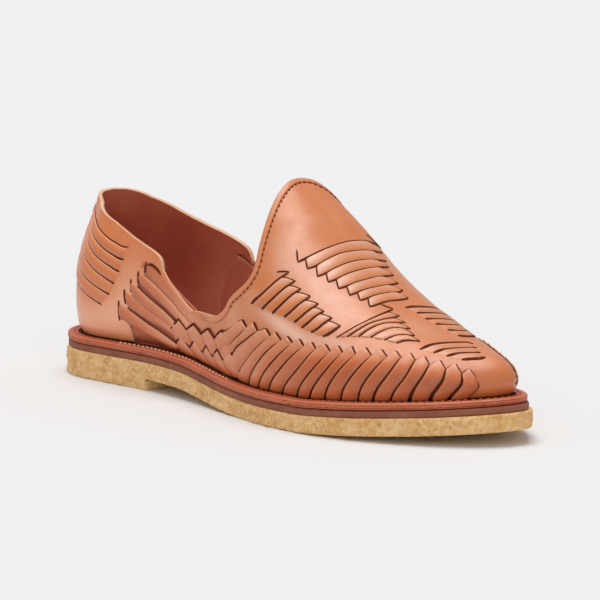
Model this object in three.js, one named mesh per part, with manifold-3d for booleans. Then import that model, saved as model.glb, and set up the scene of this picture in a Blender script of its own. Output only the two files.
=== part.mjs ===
// Right woven huarache slip-on: a woven leather upper on two leather layers and a crepe rubber sole.
//
// Frame while modelling, in millimetres: X runs from the back of the heel to the toe, +Y is the
// medial side (the big toe's side of a right foot), Z is up from the ground. The finished group is
// shifted so that its origin is the centre of the bottom of its box.

import * as THREE from 'three';
import { mergeVertices } from 'three/addons/utils/BufferGeometryUtils.js';
import Module from 'manifold-3d';

// ---- driving dimensions --------------------------------------------------------------------

const LENGTH = 295;            // crepe outsole, heel to toe
const HEEL_ROUND = 37;         // depth of the round at the back of the heel
const TOE_ROUND = 66;          // depth of the round at the toe
const RIM = 6;                 // the welt stands this far out past the upper
const TOE_SET_BACK = 3;        // the welt ends this much behind the crepe at the toe
const WALL = 2;                // leather of the upper
const GAP = 0.3;               // between pieces that lie on each other

const WELT = 3;                // leather layer that carries the seam
const MIDSOLE = 3;             // rougher leather layer under it
const STACK = 14.4;            // welt, midsole and outsole together
const HEEL_BREAST = 82;        // the heel lift ends here
const INSOLE = 3;
const INSOLE_CLEARANCE = 0.4;  // between the insole's edge and the tucked upper

const TUCK = 1.6;              // the upper's foot turns in by this much
const TUCK_HEIGHT = 7;         // over this height
const BULGE_HEIGHT = 55;       // height of the low swelling of the walls

const STATIONS = 46;           // along the shoe
const STEPS = 20;              // from the upper's foot to its ridge

// The sole seen from above. share: part of the length from the heel. lateral and medial: half
// widths before the rounds at the ends. swing: how far the middle line has moved medially.
const SOLE_PLAN = [
  { share: 0.00, lateral: 36.5, medial: 35.0, swing: 0.0 },
  { share: 0.15, lateral: 35.8, medial: 34.0, swing: 0.0 },
  { share: 0.25, lateral: 35.3, medial: 33.0, swing: 0.0 },
  { share: 0.35, lateral: 37.5, medial: 31.5, swing: 0.0 },
  { share: 0.45, lateral: 42.9, medial: 32.0, swing: 0.0 },
  { share: 0.55, lateral: 49.3, medial: 38.0, swing: 0.0 },
  { share: 0.65, lateral: 54.4, medial: 44.5, swing: 0.2 },
  { share: 0.72, lateral: 54.9, medial: 45.8, swing: 0.4 },
  { share: 0.80, lateral: 51.2, medial: 42.5, swing: 0.8 },
  { share: 0.88, lateral: 46.0, medial: 35.8, swing: 1.2 },
  { share: 0.94, lateral: 43.0, medial: 30.5, swing: 1.6 },
  { share: 1.00, lateral: 40.0, medial: 26.0, swing: 2.0 },
];

// Height of the welt's top along the shoe: heel, arch, the flat of the forefoot, toe spring.
const WELT_TOP = [
  { x: 0, z: 20.0 },
  { x: 40, z: 19.5 },
  { x: 85, z: 19.6 },
  { x: 110, z: 19.0 },
  { x: 128, z: 17.4 },
  { x: 150, z: 15.3 },
  { x: 172, z: 14.4 },
  { x: 206, z: 14.4 },
  { x: 225, z: 15.3 },
  { x: 260, z: 17.8 },
  { x: 295, z: 21.0 },
];

// The ridge that the ribs of the form lean up to, from above the heel down to the toe.
const RIDGE = [
  { x: 52, z: 124.0, y: 0.0 },
  { x: 100, z: 120.0, y: 0.0 },
  { x: 130, z: 112.0, y: 0.0 },
  { x: 150, z: 103.0, y: 0.0 },
  { x: 170, z: 89.0, y: 0.0 },
  { x: 185, z: 76.0, y: 0.2 },
  { x: 200, z: 65.3, y: 0.5 },
  { x: 215, z: 56.3, y: 0.8 },
  { x: 230, z: 49.5, y: 1.2 },
  { x: 245, z: 44.4, y: 1.6 },
  { x: 258, z: 40.4, y: 2.0 },
  { x: 270, z: 38.0, y: 2.4 },
];

// The ribs. share: where a rib stands on the foot line. head: the x where it meets the ridge.
// lateral and medial: how square each side's curve is (2 is an ellipse). bulge: low swelling.
const RIBS = [
  { share: 0.00, head: 52, lateral: 2.50, medial: 2.50, bulge: 3.8 },
  { share: 0.04, head: 53, lateral: 1.78, medial: 1.78, bulge: 3.2 },
  { share: 0.10, head: 55, lateral: 1.78, medial: 1.78, bulge: 2.8 },
  { share: 0.17, head: 67, lateral: 2.00, medial: 2.00, bulge: 2.6 },
  { share: 0.23, head: 84, lateral: 2.50, medial: 2.50, bulge: 2.2 },
  { share: 0.30, head: 97, lateral: 2.70, medial: 2.80, bulge: 1.5 },
  { share: 0.45, head: 133, lateral: 2.40, medial: 2.80, bulge: 1.5 },
  { share: 0.52, head: 150, lateral: 2.20, medial: 2.75, bulge: 1.5 },
  { share: 0.62, head: 172, lateral: 2.15, medial: 2.30, bulge: 1.8 },
  { share: 0.72, head: 200, lateral: 2.20, medial: 1.95, bulge: 2.0 },
  { share: 0.82, head: 228, lateral: 2.25, medial: 2.00, bulge: 2.0 },
  { share: 0.92, head: 254, lateral: 2.25, medial: 2.10, bulge: 2.0 },
  { share: 1.00, head: 270, lateral: 2.00, medial: 2.00, bulge: 2.0 },
];

// Side view of the opening for the foot, back of the heel first: the counter's top edge and the
// ear's corner, then the upper strap down to the throat, then the edge of the tongue.
const COUNTER_EDGE = [[-10, 88.2], [10, 87.5], [22, 84.2], [36, 79], [50, 73.8], [66, 70], [84, 65.2]];
const STRAP_EDGE = [[88.4, 60.4], [90.8, 54.2], [106.6, 47.2], [121, 41.6], [127, 40.4]];
const TONGUE_EDGE = [[137, 44.6], [148, 52], [158, 58.4], [161.6, 64], [159.6, 74], [156, 89], [152.4, 99], [147, 108]];
const ABOVE = 160;

// The lining that backs the openings between the quarter's straps.
const BACKING = 0.8;

// Side view of the openings between the quarter's straps, the same on both sides.
const STRAP_OPENINGS = {
  underFirst: [[73, 55.2], [74, 53.6], [100, 42.2], [115, 34.8], [100, 43.6]],
  underSecond: [[68, 50.4], [69, 48.8], [94, 38.4], [109, 31.6], [94, 39.8]],
  underThird: [[61, 39.6], [63, 43.6], [71, 40.1], [84, 35.9], [95, 29.6], [84, 31], [74, 33.2]],
  underFourth: [[61.5, 10], [61.5, 29.6], [74, 27], [86, 23.4], [94, 21.6], [97, 10]],
};

const LEATHER = { color: 0xb26c41, roughness: 0.5, metalness: 0 };
const RED_LEATHER = { color: 0x8f4a35, roughness: 0.6, metalness: 0 };
const ROUGH_LEATHER = { color: 0x7a4a43, roughness: 0.8, metalness: 0 };
const CREPE = { color: 0xc99d5d, roughness: 0.9, metalness: 0 };
const LINING = { color: 0x6f2f22, roughness: 0.65, metalness: 0 };

const wasm = await Module();
wasm.setup();

// ---- curves through the tables -------------------------------------------------------------

// A smooth curve through one column of a table, which never overshoots its rows.
function column(table, key, name) {
  const at = table.map((row) => row[key]);
  const value = table.map((row) => row[name]);
  const last = at.length - 1;
  const width = at.slice(1).map((x, i) => x - at[i]);
  const slope = width.map((w, i) => (value[i + 1] - value[i]) / w);
  const tangent = at.map((_, i) => {
    if (i === 0) return slope[0];
    if (i === last) return slope[last - 1];
    if (slope[i - 1] * slope[i] <= 0) return 0;
    const before = 2 * width[i] + width[i - 1];
    const after = width[i] + 2 * width[i - 1];
    return (before + after) / (before / slope[i - 1] + after / slope[i]);
  });
  return (x) => {
    const place = THREE.MathUtils.clamp(x, at[0], at[last]);
    let i = 0;
    while (i < last - 1 && place > at[i + 1]) i += 1;
    const w = width[i];
    const u = (place - at[i]) / w;
    const ahead = u * u * (3 - 2 * u);
    const leave = u * (1 - u) * (1 - u);
    const arrive = u * u * (u - 1);
    return value[i] * (1 - ahead) + value[i + 1] * ahead + w * (tangent[i] * leave + tangent[i + 1] * arrive);
  };
}

const planLateral = column(SOLE_PLAN, 'share', 'lateral');
const planMedial = column(SOLE_PLAN, 'share', 'medial');
const planSwing = column(SOLE_PLAN, 'share', 'swing');
const weltTop = column(WELT_TOP, 'x', 'z');
const ridgeZ = column(RIDGE, 'x', 'z');
const ridgeY = column(RIDGE, 'x', 'y');
const ribHead = column(RIBS, 'share', 'head');
const ribLateral = column(RIBS, 'share', 'lateral');
const ribMedial = column(RIBS, 'share', 'medial');
const ribBulge = column(RIBS, 'share', 'bulge');

// Both edges of the sole's outline, drawn in by inset and cut back at the toe by setBack.
function outline(share, inset, setBack) {
  const length = LENGTH - 2 * inset - setBack;
  const along = share * length;
  const heel = Math.max(0, 1 - along / (HEEL_ROUND - inset));
  const toe = Math.max(0, 1 - (length - along) / (TOE_ROUND - inset));
  const round = Math.sqrt(Math.max(0, 1 - heel * heel)) * Math.sqrt(Math.max(0, 1 - toe * toe));
  const middle = planSwing(share);
  return {
    x: along + inset,
    lateral: middle - (planLateral(share) - inset) * round,
    medial: middle + (planMedial(share) - inset) * round,
  };
}

// A point of the form. side is -1 lateral or 1 medial, climb goes from 0 at the foot to 1 at the
// ridge, and inset is 0 on the leather's face and WALL on its lining.
function formPoint(share, climb, side, inset) {
  const foot = outline(share, RIM + inset, TOE_SET_BACK);
  const footY = side < 0 ? foot.lateral : foot.medial;
  const footZ = weltTop(foot.x) + GAP;
  const headX = ribHead(share);
  const headZ = ridgeZ(headX) - inset;
  const power = 2 / (side < 0 ? ribLateral(share) : ribMedial(share));
  const angle = climb * Math.PI / 2;
  const inward = 1 - Math.max(0, Math.cos(angle)) ** power;
  const height = headZ - footZ;
  const rise = Math.sin(angle) ** power * height;
  const leanX = headX - foot.x;
  const leanY = ridgeY(headX) - footY;
  const lean = Math.hypot(leanX, leanY);
  const swell = ribBulge(share) * Math.sin(Math.PI * Math.min(1, rise / Math.min(height, BULGE_HEIGHT)));
  const tuck = TUCK * Math.max(0, 1 - rise / TUCK_HEIGHT) ** 2;
  const shift = inward - (swell - tuck) / lean;
  return [foot.x + leanX * shift, footY + leanY * shift, footZ + rise];
}

// Stations crowd together at the heel and toe, where the outline turns.
const shares = Array.from({ length: STATIONS + 1 }, (_, i) => (1 - Math.cos(Math.PI * i / STATIONS)) / 2);

// ---- solids --------------------------------------------------------------------------------

class Skin {
  constructor() {
    this.positions = [];
  }

  quad(a, b, c, d) {
    this.positions.push(...a, ...b, ...c, ...a, ...c, ...d);
  }

  // One closed solid: equal points are merged and flattened triangles dropped.
  solid() {
    const loose = new THREE.BufferGeometry();
    loose.setAttribute('position', new THREE.Float32BufferAttribute(this.positions, 3));
    return solidOf(mergeVertices(loose, 1e-4));
  }
}

function solidOf(geometry) {
  const index = geometry.index.array;
  const kept = [];
  for (let i = 0; i < index.length; i += 3) {
    const [a, b, c] = [index[i], index[i + 1], index[i + 2]];
    if (a !== b && b !== c && c !== a) kept.push(a, b, c);
  }
  return new wasm.Manifold(new wasm.Mesh({
    numProp: 3,
    vertProperties: new Float32Array(geometry.attributes.position.array),
    triVerts: new Uint32Array(kept),
  }));
}

function meshOf(name, solid, look) {
  const result = solid.getMesh();
  const geometry = new THREE.BufferGeometry();
  geometry.setAttribute('position', new THREE.BufferAttribute(result.vertProperties, 3));
  geometry.setIndex(new THREE.BufferAttribute(result.triVerts, 1));
  geometry.computeVertexNormals();
  const mesh = new THREE.Mesh(geometry, new THREE.MeshStandardMaterial(look));
  mesh.name = name;
  return mesh;
}

// A layer of the sole between two heights, from the heel to the toe or to a straight breast.
function layer({ inset = 0, setBack = 0, bottom, top, breast = LENGTH }) {
  const skin = new Skin();
  const length = LENGTH - 2 * inset - setBack;
  const whole = breast >= LENGTH;
  const end = whole ? 1 : (breast - inset) / length;
  const places = shares.map((share) => share * (whole ? 1 : 2)).filter((share) => share < end);
  places.push(end);
  const rows = places.map((share) => {
    const edge = outline(share, inset, setBack);
    const low = bottom(edge.x);
    const high = top(edge.x);
    return {
      lateralLow: [edge.x, edge.lateral, low],
      lateralHigh: [edge.x, edge.lateral, high],
      medialLow: [edge.x, edge.medial, low],
      medialHigh: [edge.x, edge.medial, high],
    };
  });
  for (let i = 0; i + 1 < rows.length; i += 1) {
    const a = rows[i];
    const b = rows[i + 1];
    skin.quad(a.lateralHigh, b.lateralHigh, b.medialHigh, a.medialHigh);
    skin.quad(a.lateralLow, a.medialLow, b.medialLow, b.lateralLow);
    skin.quad(a.lateralLow, b.lateralLow, b.lateralHigh, a.lateralHigh);
    skin.quad(a.medialLow, a.medialHigh, b.medialHigh, b.medialLow);
  }
  const face = rows[rows.length - 1];
  skin.quad(face.lateralLow, face.medialLow, face.medialHigh, face.lateralHigh);
  return skin.solid();
}

// The whole closed form, before it is opened. drop lowers its underside.
function form(inset, drop) {
  const skin = new Skin();
  const rib = (share, side) => {
    const points = [];
    for (let j = 0; j <= STEPS; j += 1) points.push(formPoint(share, j / STEPS, side, inset));
    const [x, y, z] = points[0];
    if (drop > 0) points.unshift([x, y, z - drop]);
    return points;
  };
  const lateral = shares.map((share) => rib(share, -1));
  const medial = shares.map((share) => rib(share, 1));
  for (let i = 0; i < STATIONS; i += 1) {
    for (let j = 0; j + 1 < lateral[i].length; j += 1) {
      skin.quad(lateral[i][j], lateral[i + 1][j], lateral[i + 1][j + 1], lateral[i][j + 1]);
      skin.quad(medial[i][j], medial[i][j + 1], medial[i + 1][j + 1], medial[i + 1][j]);
    }
    skin.quad(lateral[i][0], medial[i][0], medial[i + 1][0], lateral[i + 1][0]);
  }
  return skin.solid();
}

// A straight cutter through both sides of the shoe, from its side view.
function sideCutter(shape, divisions) {
  const depth = 160;
  const geometry = new THREE.ExtrudeGeometry(shape, { depth, bevelEnabled: false, curveSegments: divisions });
  geometry.rotateX(Math.PI / 2);
  geometry.translate(0, depth / 2, 0);
  geometry.deleteAttribute('normal');
  geometry.deleteAttribute('uv');
  return solidOf(mergeVertices(geometry, 1e-4));
}

const vectors = (points) => points.map(([x, z]) => new THREE.Vector2(x, z));

function collarCutter() {
  const shape = new THREE.Shape();
  shape.moveTo(...COUNTER_EDGE[0]);
  shape.splineThru(vectors(COUNTER_EDGE.slice(1)));
  shape.splineThru(vectors(STRAP_EDGE));
  shape.splineThru(vectors(TONGUE_EDGE));
  shape.lineTo(TONGUE_EDGE[TONGUE_EDGE.length - 1][0], ABOVE);
  shape.lineTo(COUNTER_EDGE[0][0], ABOVE);
  return sideCutter(shape, 3);
}

function upper() {
  const lining = form(WALL, 6);
  let leather = form(0, 0).subtract(lining).subtract(collarCutter());
  const backing = form(WALL - BACKING, 6);
  for (const points of Object.values(STRAP_OPENINGS)) {
    leather = leather.subtract(sideCutter(new THREE.Shape(vectors(points)), 1).subtract(backing));
  }
  return leather;
}

// ---- the shoe ------------------------------------------------------------------------------

const outsoleBottom = (x) => Math.max(0, weltTop(x) - STACK);
const midsoleTop = (x) => weltTop(x) - WELT - GAP;
const outsoleTop = (x) => midsoleTop(x) - MIDSOLE - GAP;

const pieces = [
  meshOf('heel_lift', layer({
    inset: 0.4,
    bottom: () => 0,
    top: (x) => outsoleBottom(x) - GAP,
    breast: HEEL_BREAST,
  }), CREPE),
  meshOf('outsole', layer({ bottom: outsoleBottom, top: outsoleTop }), CREPE),
  meshOf('midsole', layer({
    inset: 0.4,
    setBack: TOE_SET_BACK / 2,
    bottom: (x) => outsoleTop(x) + GAP,
    top: midsoleTop,
  }), ROUGH_LEATHER),
  meshOf('welt', layer({
    setBack: TOE_SET_BACK,
    bottom: (x) => midsoleTop(x) + GAP,
    top: weltTop,
  }), RED_LEATHER),
  meshOf('insole', layer({
    inset: RIM + WALL + TUCK + INSOLE_CLEARANCE,
    setBack: TOE_SET_BACK,
    bottom: (x) => weltTop(x) + GAP,
    top: (x) => weltTop(x) + GAP + INSOLE,
  }), LINING),
  meshOf('upper', upper(), LEATHER),
];

const shoe = new THREE.Group();
for (const piece of pieces) shoe.add(piece);

const box = new THREE.Box3().setFromObject(shoe);
const centre = box.getCenter(new THREE.Vector3());
shoe.position.set(-centre.x, -centre.y, -box.min.z);

export default shoe;
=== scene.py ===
"""A woven leather huarache slip-on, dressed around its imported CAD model."""

import logging
import math
from dataclasses import dataclass, field
from enum import Enum
from functools import cache
from typing import Callable, Sequence

import bmesh
import bpy
import numpy as np
from mathutils import Matrix, Vector, noise


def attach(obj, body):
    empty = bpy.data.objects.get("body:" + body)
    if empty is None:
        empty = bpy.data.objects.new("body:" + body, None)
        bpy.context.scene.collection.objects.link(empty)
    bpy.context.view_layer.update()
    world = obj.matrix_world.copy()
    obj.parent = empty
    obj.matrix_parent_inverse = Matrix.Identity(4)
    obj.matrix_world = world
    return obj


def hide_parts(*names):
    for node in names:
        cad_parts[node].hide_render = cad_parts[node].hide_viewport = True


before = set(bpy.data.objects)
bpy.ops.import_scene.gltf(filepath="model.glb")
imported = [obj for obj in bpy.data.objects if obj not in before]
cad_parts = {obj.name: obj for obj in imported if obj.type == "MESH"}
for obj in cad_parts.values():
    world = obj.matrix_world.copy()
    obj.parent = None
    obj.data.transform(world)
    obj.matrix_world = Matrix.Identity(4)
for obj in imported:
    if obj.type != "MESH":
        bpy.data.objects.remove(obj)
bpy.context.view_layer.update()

LOG = logging.getLogger("huarache")

Spot = tuple[float, float]
Spots = Sequence[Spot]
Colour = tuple[float, float, float]
Output = tuple[bpy.types.Node, str | int]
Array = np.ndarray
# a grid's corners: positions in mm, tones, edge values and UVs
Corners = tuple[Array, Array, Array, Array]
Place = Callable[[Array, Array], Corners]

MM = 0.001
# mm that one unit of the charts' coordinates spans in the UV maps: along, across the vamp, up the heel
UV_LENGTH = 290.0
UV_HALF = 110.0
UV_RISE = 130.0
# The row frame's origin in the last's own frame, where x runs from the heel and y from the centre line.
ORIGIN = np.array([147.5, -4.186, 0.0])


class Side(Enum):
    """Which half of the shoe, as the sign of the across coordinate."""

    LATERAL = -1
    MEDIAL = 1


class Chart(Enum):
    """How two numbers name a place on the last.

    VAMP is (share along the foot line, across from -1 at the lateral foot line over 0 at the ridge to +1).
    HEEL is (share round the heel, negative on the lateral side, and climb from 0 at the foot line to 1).
    """

    VAMP = "vamp"
    HEEL = "heel"


def both_sides(spots: Spots, side: Side) -> Spots:
    """Turns (share, climb) spots into the vamp chart's spots on one side."""
    return tuple((share, side.value * (1 - climb)) for share, climb in spots)


class Fit:
    """A smooth curve through a table, with no overshoot between its rows."""

    def __init__(self, table: Sequence[Sequence[float]], column: int) -> None:
        """Keeps one column of a table.

        Args:
            table: rows whose first number is the station.
            column: the column whose values the curve passes through.
        """
        self.at = np.array([row[0] for row in table], float)
        self.value = np.array([row[column] for row in table], float)
        width = np.diff(self.at)
        slope = np.diff(self.value) / width
        tangent = np.concatenate([slope[:1], np.zeros(len(slope) - 1), slope[-1:]])
        for i in range(1, len(slope)):
            if slope[i - 1] * slope[i] > 0:
                before = 2 * width[i] + width[i - 1]
                after = width[i] + 2 * width[i - 1]
                tangent[i] = (before + after) / (before / slope[i - 1] + after / slope[i])
        self.tangent = tangent

    def __call__(self, at: Array) -> Array:
        """Returns the curve's value at each station."""
        at = np.clip(at, self.at[0], self.at[-1])
        i = np.clip(np.searchsorted(self.at, at) - 1, 0, len(self.at) - 2)
        width = self.at[i + 1] - self.at[i]
        t = (at - self.at[i]) / width
        start = self.value[i] * (1 + 2 * t) * (1 - t) ** 2 + self.value[i + 1] * t * t * (3 - 2 * t)
        bend = self.tangent[i] * t * (1 - t) ** 2 - self.tangent[i + 1] * t * t * (1 - t)
        return start + bend * width


class LastForm:
    """The shape the shoe is built on: every leather piece is placed on it through a chart."""

    LENGTH = 295.0
    HEEL_ROUND = 37.0
    TOE_ROUND = 66.0
    RIM = 6.0
    TOE_SET_BACK = 3.0
    FOOT_LIFT = 0.3
    TUCK = 1.6
    TUCK_HEIGHT = 7.0
    BULGE_HEIGHT = 55.0
    # how a wall point is searched for: rounds, and the part of each correction taken; and the chart
    # steps that slopes and outward directions are measured over
    SEARCH_ROUNDS = 30
    PACE = 0.7
    SLOPE_STEP = 1e-4
    NORMAL_STEP = 0.002
    # share, lateral half width, medial half width, swing of the centre line
    PLAN = (
        (0, 36.5, 35, 0), (0.15, 35.8, 34, 0), (0.25, 35.3, 33, 0), (0.35, 37.5, 31.5, 0),
        (0.45, 42.9, 32, 0), (0.55, 49.3, 38, 0), (0.65, 54.4, 44.5, 0.2), (0.72, 54.9, 45.8, 0.4),
        (0.80, 51.2, 42.5, 0.8), (0.88, 46, 35.8, 1.2), (0.94, 43, 30.5, 1.6), (1, 40, 26, 2),
    )
    # x, height of the welt's top
    WELT_TOP = (
        (0, 20), (40, 19.5), (85, 19.6), (110, 19), (128, 17.4), (150, 15.3), (172, 14.4), (206, 14.4),
        (225, 15.3), (260, 17.8), (295, 21),
    )
    # x, height and y of the ridge
    RIDGE = (
        (52, 124, 0), (100, 120, 0), (130, 112, 0), (150, 103, 0), (170, 89, 0), (185, 76, 0.2),
        (200, 65.3, 0.5), (215, 56.3, 0.8), (230, 49.5, 1.2), (245, 44.4, 1.6), (258, 40.4, 2),
        (270, 38, 2.4),
    )
    # share, x of the rib's head, lateral exponent, medial exponent, bulge
    RIBS = (
        (0, 52, 2.5, 2.5, 3.8), (0.04, 53, 1.78, 1.78, 3.2), (0.10, 55, 1.78, 1.78, 2.8),
        (0.17, 67, 2, 2, 2.6), (0.23, 84, 2.5, 2.5, 2.2), (0.30, 97, 2.7, 2.8, 1.5),
        (0.45, 133, 2.4, 2.8, 1.5), (0.52, 150, 2.2, 2.75, 1.5), (0.62, 172, 2.15, 2.3, 1.8),
        (0.72, 200, 2.2, 1.95, 2), (0.82, 228, 2.25, 2, 2), (0.92, 254, 2.25, 2.1, 2), (1, 270, 2, 2, 2),
    )

    def __init__(self) -> None:
        """Fits the curves once."""
        self.lateral, self.medial, self.swing = (Fit(self.PLAN, i) for i in (1, 2, 3))
        self.welt_top = Fit(self.WELT_TOP, 1)
        self.ridge_z, self.ridge_y = Fit(self.RIDGE, 1), Fit(self.RIDGE, 2)
        self.head, self.bulge = Fit(self.RIBS, 1), Fit(self.RIBS, 4)
        self.power_lateral, self.power_medial = Fit(self.RIBS, 2), Fit(self.RIBS, 3)

    def outline(self, share: Array, inset: float, set_back: float) -> tuple[Array, Array, Array]:
        """Finds a sole outline.

        Args:
            share: how far along the outline, from 0 at the heel to 1 at the toe.
            inset: how far inside the sole's edge, in mm.
            set_back: how much shorter at the toe, in mm.

        Returns:
            x, the lateral y and the medial y, in mm.
        """
        length = self.LENGTH - 2 * inset - set_back
        along = share * length
        heel = np.clip(1 - along / (self.HEEL_ROUND - inset), 0, 1)
        toe = np.clip(1 - (length - along) / (self.TOE_ROUND - inset), 0, 1)
        rounding = np.sqrt(np.clip(1 - heel**2, 0, 1)) * np.sqrt(np.clip(1 - toe**2, 0, 1))
        swing = self.swing(share)
        lateral = swing - (self.lateral(share) - inset) * rounding
        return along + inset, lateral, swing + (self.medial(share) - inset) * rounding

    def rib_point(self, share: Array, climb: Array, medial: Array) -> Array:
        """Returns points in mm at a share and climb, on the medial side where medial is true."""
        x, lateral, inner = self.outline(share, self.RIM, self.TOE_SET_BACK)
        y = np.where(medial, inner, lateral)
        foot = self.welt_top(x) + self.FOOT_LIFT
        head = self.head(share)
        power = 2 / np.where(medial, self.power_medial(share), self.power_lateral(share))
        height = self.ridge_z(head) - foot
        angle = np.clip(climb, 0, 1) * math.pi / 2
        inward = 1 - np.cos(angle) ** power
        rise = np.sin(angle) ** power * height
        lean_x, lean_y = head - x, self.ridge_y(head) - y
        lean = np.hypot(lean_x, lean_y)
        level = np.clip(rise / np.minimum(height, self.BULGE_HEIGHT), 0, 1)
        swell = self.bulge(share) * np.sin(math.pi * level)
        tuck = self.TUCK * np.clip(1 - rise / self.TUCK_HEIGHT, 0, 1) ** 2
        shift = inward - (swell - tuck) / lean
        return np.stack([x + lean_x * shift, y + lean_y * shift, foot + rise], -1)

    def surface(self, chart: Chart, p: Array, q: Array) -> Array:
        """Returns points in mm, in the row frame, at chart places."""
        p, q = np.asarray(p, float), np.asarray(q, float)
        if chart is Chart.VAMP:
            beyond = p > 1
            share, across = np.where(beyond, 2 - p, p), np.where(beyond, -q, q)
            climb, medial = 1 - np.abs(across), across > 0
        else:
            share, climb, medial = np.abs(p), q, p > 0
        return self.rib_point(share, climb, medial) - ORIGIN

    def outward(self, chart: Chart, p: Array, q: Array) -> Array:
        """Returns the last's outward direction at chart places."""
        p, q = np.asarray(p, float), np.asarray(q, float)
        step = self.NORMAL_STEP
        high = q + step
        low = q - step
        if chart is Chart.HEEL:
            low = np.maximum(low, 0)
        else:
            high, low = np.minimum(high, 1), np.maximum(low, -1)
        down = self.surface(chart, p + step, q) - self.surface(chart, p - step, q)
        over = self.surface(chart, p, high) - self.surface(chart, p, low)
        normal = np.cross(down, over)
        normal /= np.linalg.norm(normal, axis=-1, keepdims=True) + 1e-12
        if chart is Chart.HEEL:
            normal = -normal
        return normal

    def lifted(self, chart: Chart, p: Array, q: Array, lift: Array | float) -> Array:
        """Returns points a lift in mm outside the last."""
        lift = np.asarray(lift, float)
        return self.surface(chart, p, q) + self.outward(chart, p, q) * lift[..., None]

    def seen_from_side(self, x: float, z: float, side: Side = Side.LATERAL) -> Spot:
        """Finds the share and climb of a wall point.

        Args:
            x: mm from the heel.
            z: height in mm.
            side: which wall.

        Returns:
            The share and the climb where that wall has that x and z.
        """
        medial = np.array(side is Side.MEDIAL)
        step = self.SLOPE_STEP
        share, climb = min(0.95, max(0.01, x / self.LENGTH)), 0.2
        for _ in range(self.SEARCH_ROUNDS):
            here = self.rib_point(np.array(share), np.array(climb), medial)
            by_share = (self.rib_point(np.array(share + step), np.array(climb), medial) - here) / step
            by_climb = (self.rib_point(np.array(share), np.array(climb + step), medial) - here) / step
            miss_x, miss_z = x - here[0], z - here[2]
            turn = by_share[0] * by_climb[2] - by_climb[0] * by_share[2]
            share += self.PACE * (miss_x * by_climb[2] - by_climb[0] * miss_z) / turn
            climb += self.PACE * (by_share[0] * miss_z - miss_x * by_share[2]) / turn
            share, climb = min(0.99, max(0.001, share)), min(0.99, max(0.001, climb))
        return float(share), float(climb)

    def beside(self, chart: Chart, spots: Array, distance: float) -> Array:
        """Shifts a line of spots sideways over the last.

        Args:
            chart: the spots' chart.
            spots: the line, in order.
            distance: mm to the left of the way the line runs, seen from outside.

        Returns:
            The shifted spots.
        """
        points = self.surface(chart, spots[:, 0], spots[:, 1])
        ahead = np.gradient(points, axis=0)
        sideways = np.cross(self.outward(chart, spots[:, 0], spots[:, 1]), ahead)
        sideways *= distance / (np.linalg.norm(sideways, axis=1, keepdims=True) + 1e-12)
        small = self.SLOPE_STEP
        by_p = (self.surface(chart, spots[:, 0] + small, spots[:, 1]) - points) / small
        inward = np.where(spots[:, 1] > 0, -small, small)
        by_q = (self.surface(chart, spots[:, 0], spots[:, 1] + inward) - points) / inward[:, None]
        moved = [
            np.linalg.lstsq(np.stack([by_first, by_second], 1), aim, rcond=None)[0]
            for by_first, by_second, aim in zip(by_p, by_q, sideways)
        ]
        return spots + np.array(moved)

    def wall_line(self, line: Spots, side: Side) -> Spots:
        """Returns the vamp chart spots of a line given by x and height, as seen from a side."""
        return both_sides([self.seen_from_side(x, z, side) for x, z in line], side)


FORM = LastForm()


class Track:
    """A smooth line through a few chart spots, running on straight past both ends."""

    GAUGE = np.array([290.0, 95.0])  # about how many mm one unit of each chart coordinate spans

    def __init__(self, spots: Spots) -> None:
        """Prepares the line through spots."""
        self.spots = np.array(spots, float)
        steps = np.linalg.norm(np.diff(self.spots, axis=0) * self.GAUGE, axis=1)
        self.at = np.concatenate([[0], np.cumsum(steps)]) / steps.sum()
        chords = np.diff(self.spots, axis=0) / np.diff(self.at)[:, None]
        inner = (chords[:-1] + chords[1:]) / 2
        self.tangent = np.concatenate([chords[:1], inner, chords[-1:]])

    def __call__(self, at: Array) -> Array:
        """Returns the spots at fractions of the line."""
        at = np.asarray(at, float)
        inside = np.clip(at, 0, 1)
        i = np.clip(np.searchsorted(self.at, inside) - 1, 0, len(self.at) - 2)
        width = (self.at[i + 1] - self.at[i])[..., None]
        t = (inside[..., None] - self.at[i][..., None]) / width
        line = self.spots[i] * (1 + 2 * t) * (1 - t) ** 2 + self.spots[i + 1] * t * t * (3 - 2 * t)
        line += (self.tangent[i] * t * (1 - t) ** 2 - self.tangent[i + 1] * t * t * (1 - t)) * width
        past = (at - inside)[..., None]
        return line + past * np.where(past > 0, self.tangent[-1], self.tangent[0])


@dataclass(frozen=True)
class Strip:
    """One strip of leather between two slits.

    The left and right tracks are the middles of the slits beside it, from its start to its finish. A tip
    is the spot where an end comes to a point, with how far across the strip it stands.
    """

    left: Spots
    right: Spots
    finish_tip: Spot | None = None
    finish_at: float = 0.5
    start_tip: Spot | None = None
    start_at: float = 0.5
    gap_left: Spots = ((0.0, 0.3), (1.0, 0.3))
    gap_right: Spots = ((0.0, 0.3), (1.0, 0.3))
    end_gap: float = 0.25
    height: float = 0.75
    crown: float = 0.25
    start_dive: float = 0.0
    finish_dive: float = 0.0
    # tone along the strip, and left_shade and right_shade near its two sides: painted highlight above nought
    # and painted shade below, with some of the leather's own tone
    tone: Spots = ((0.0, 0.0), (1.0, 0.0))
    left_shade: float = 0.0
    right_shade: float = 0.0


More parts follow.
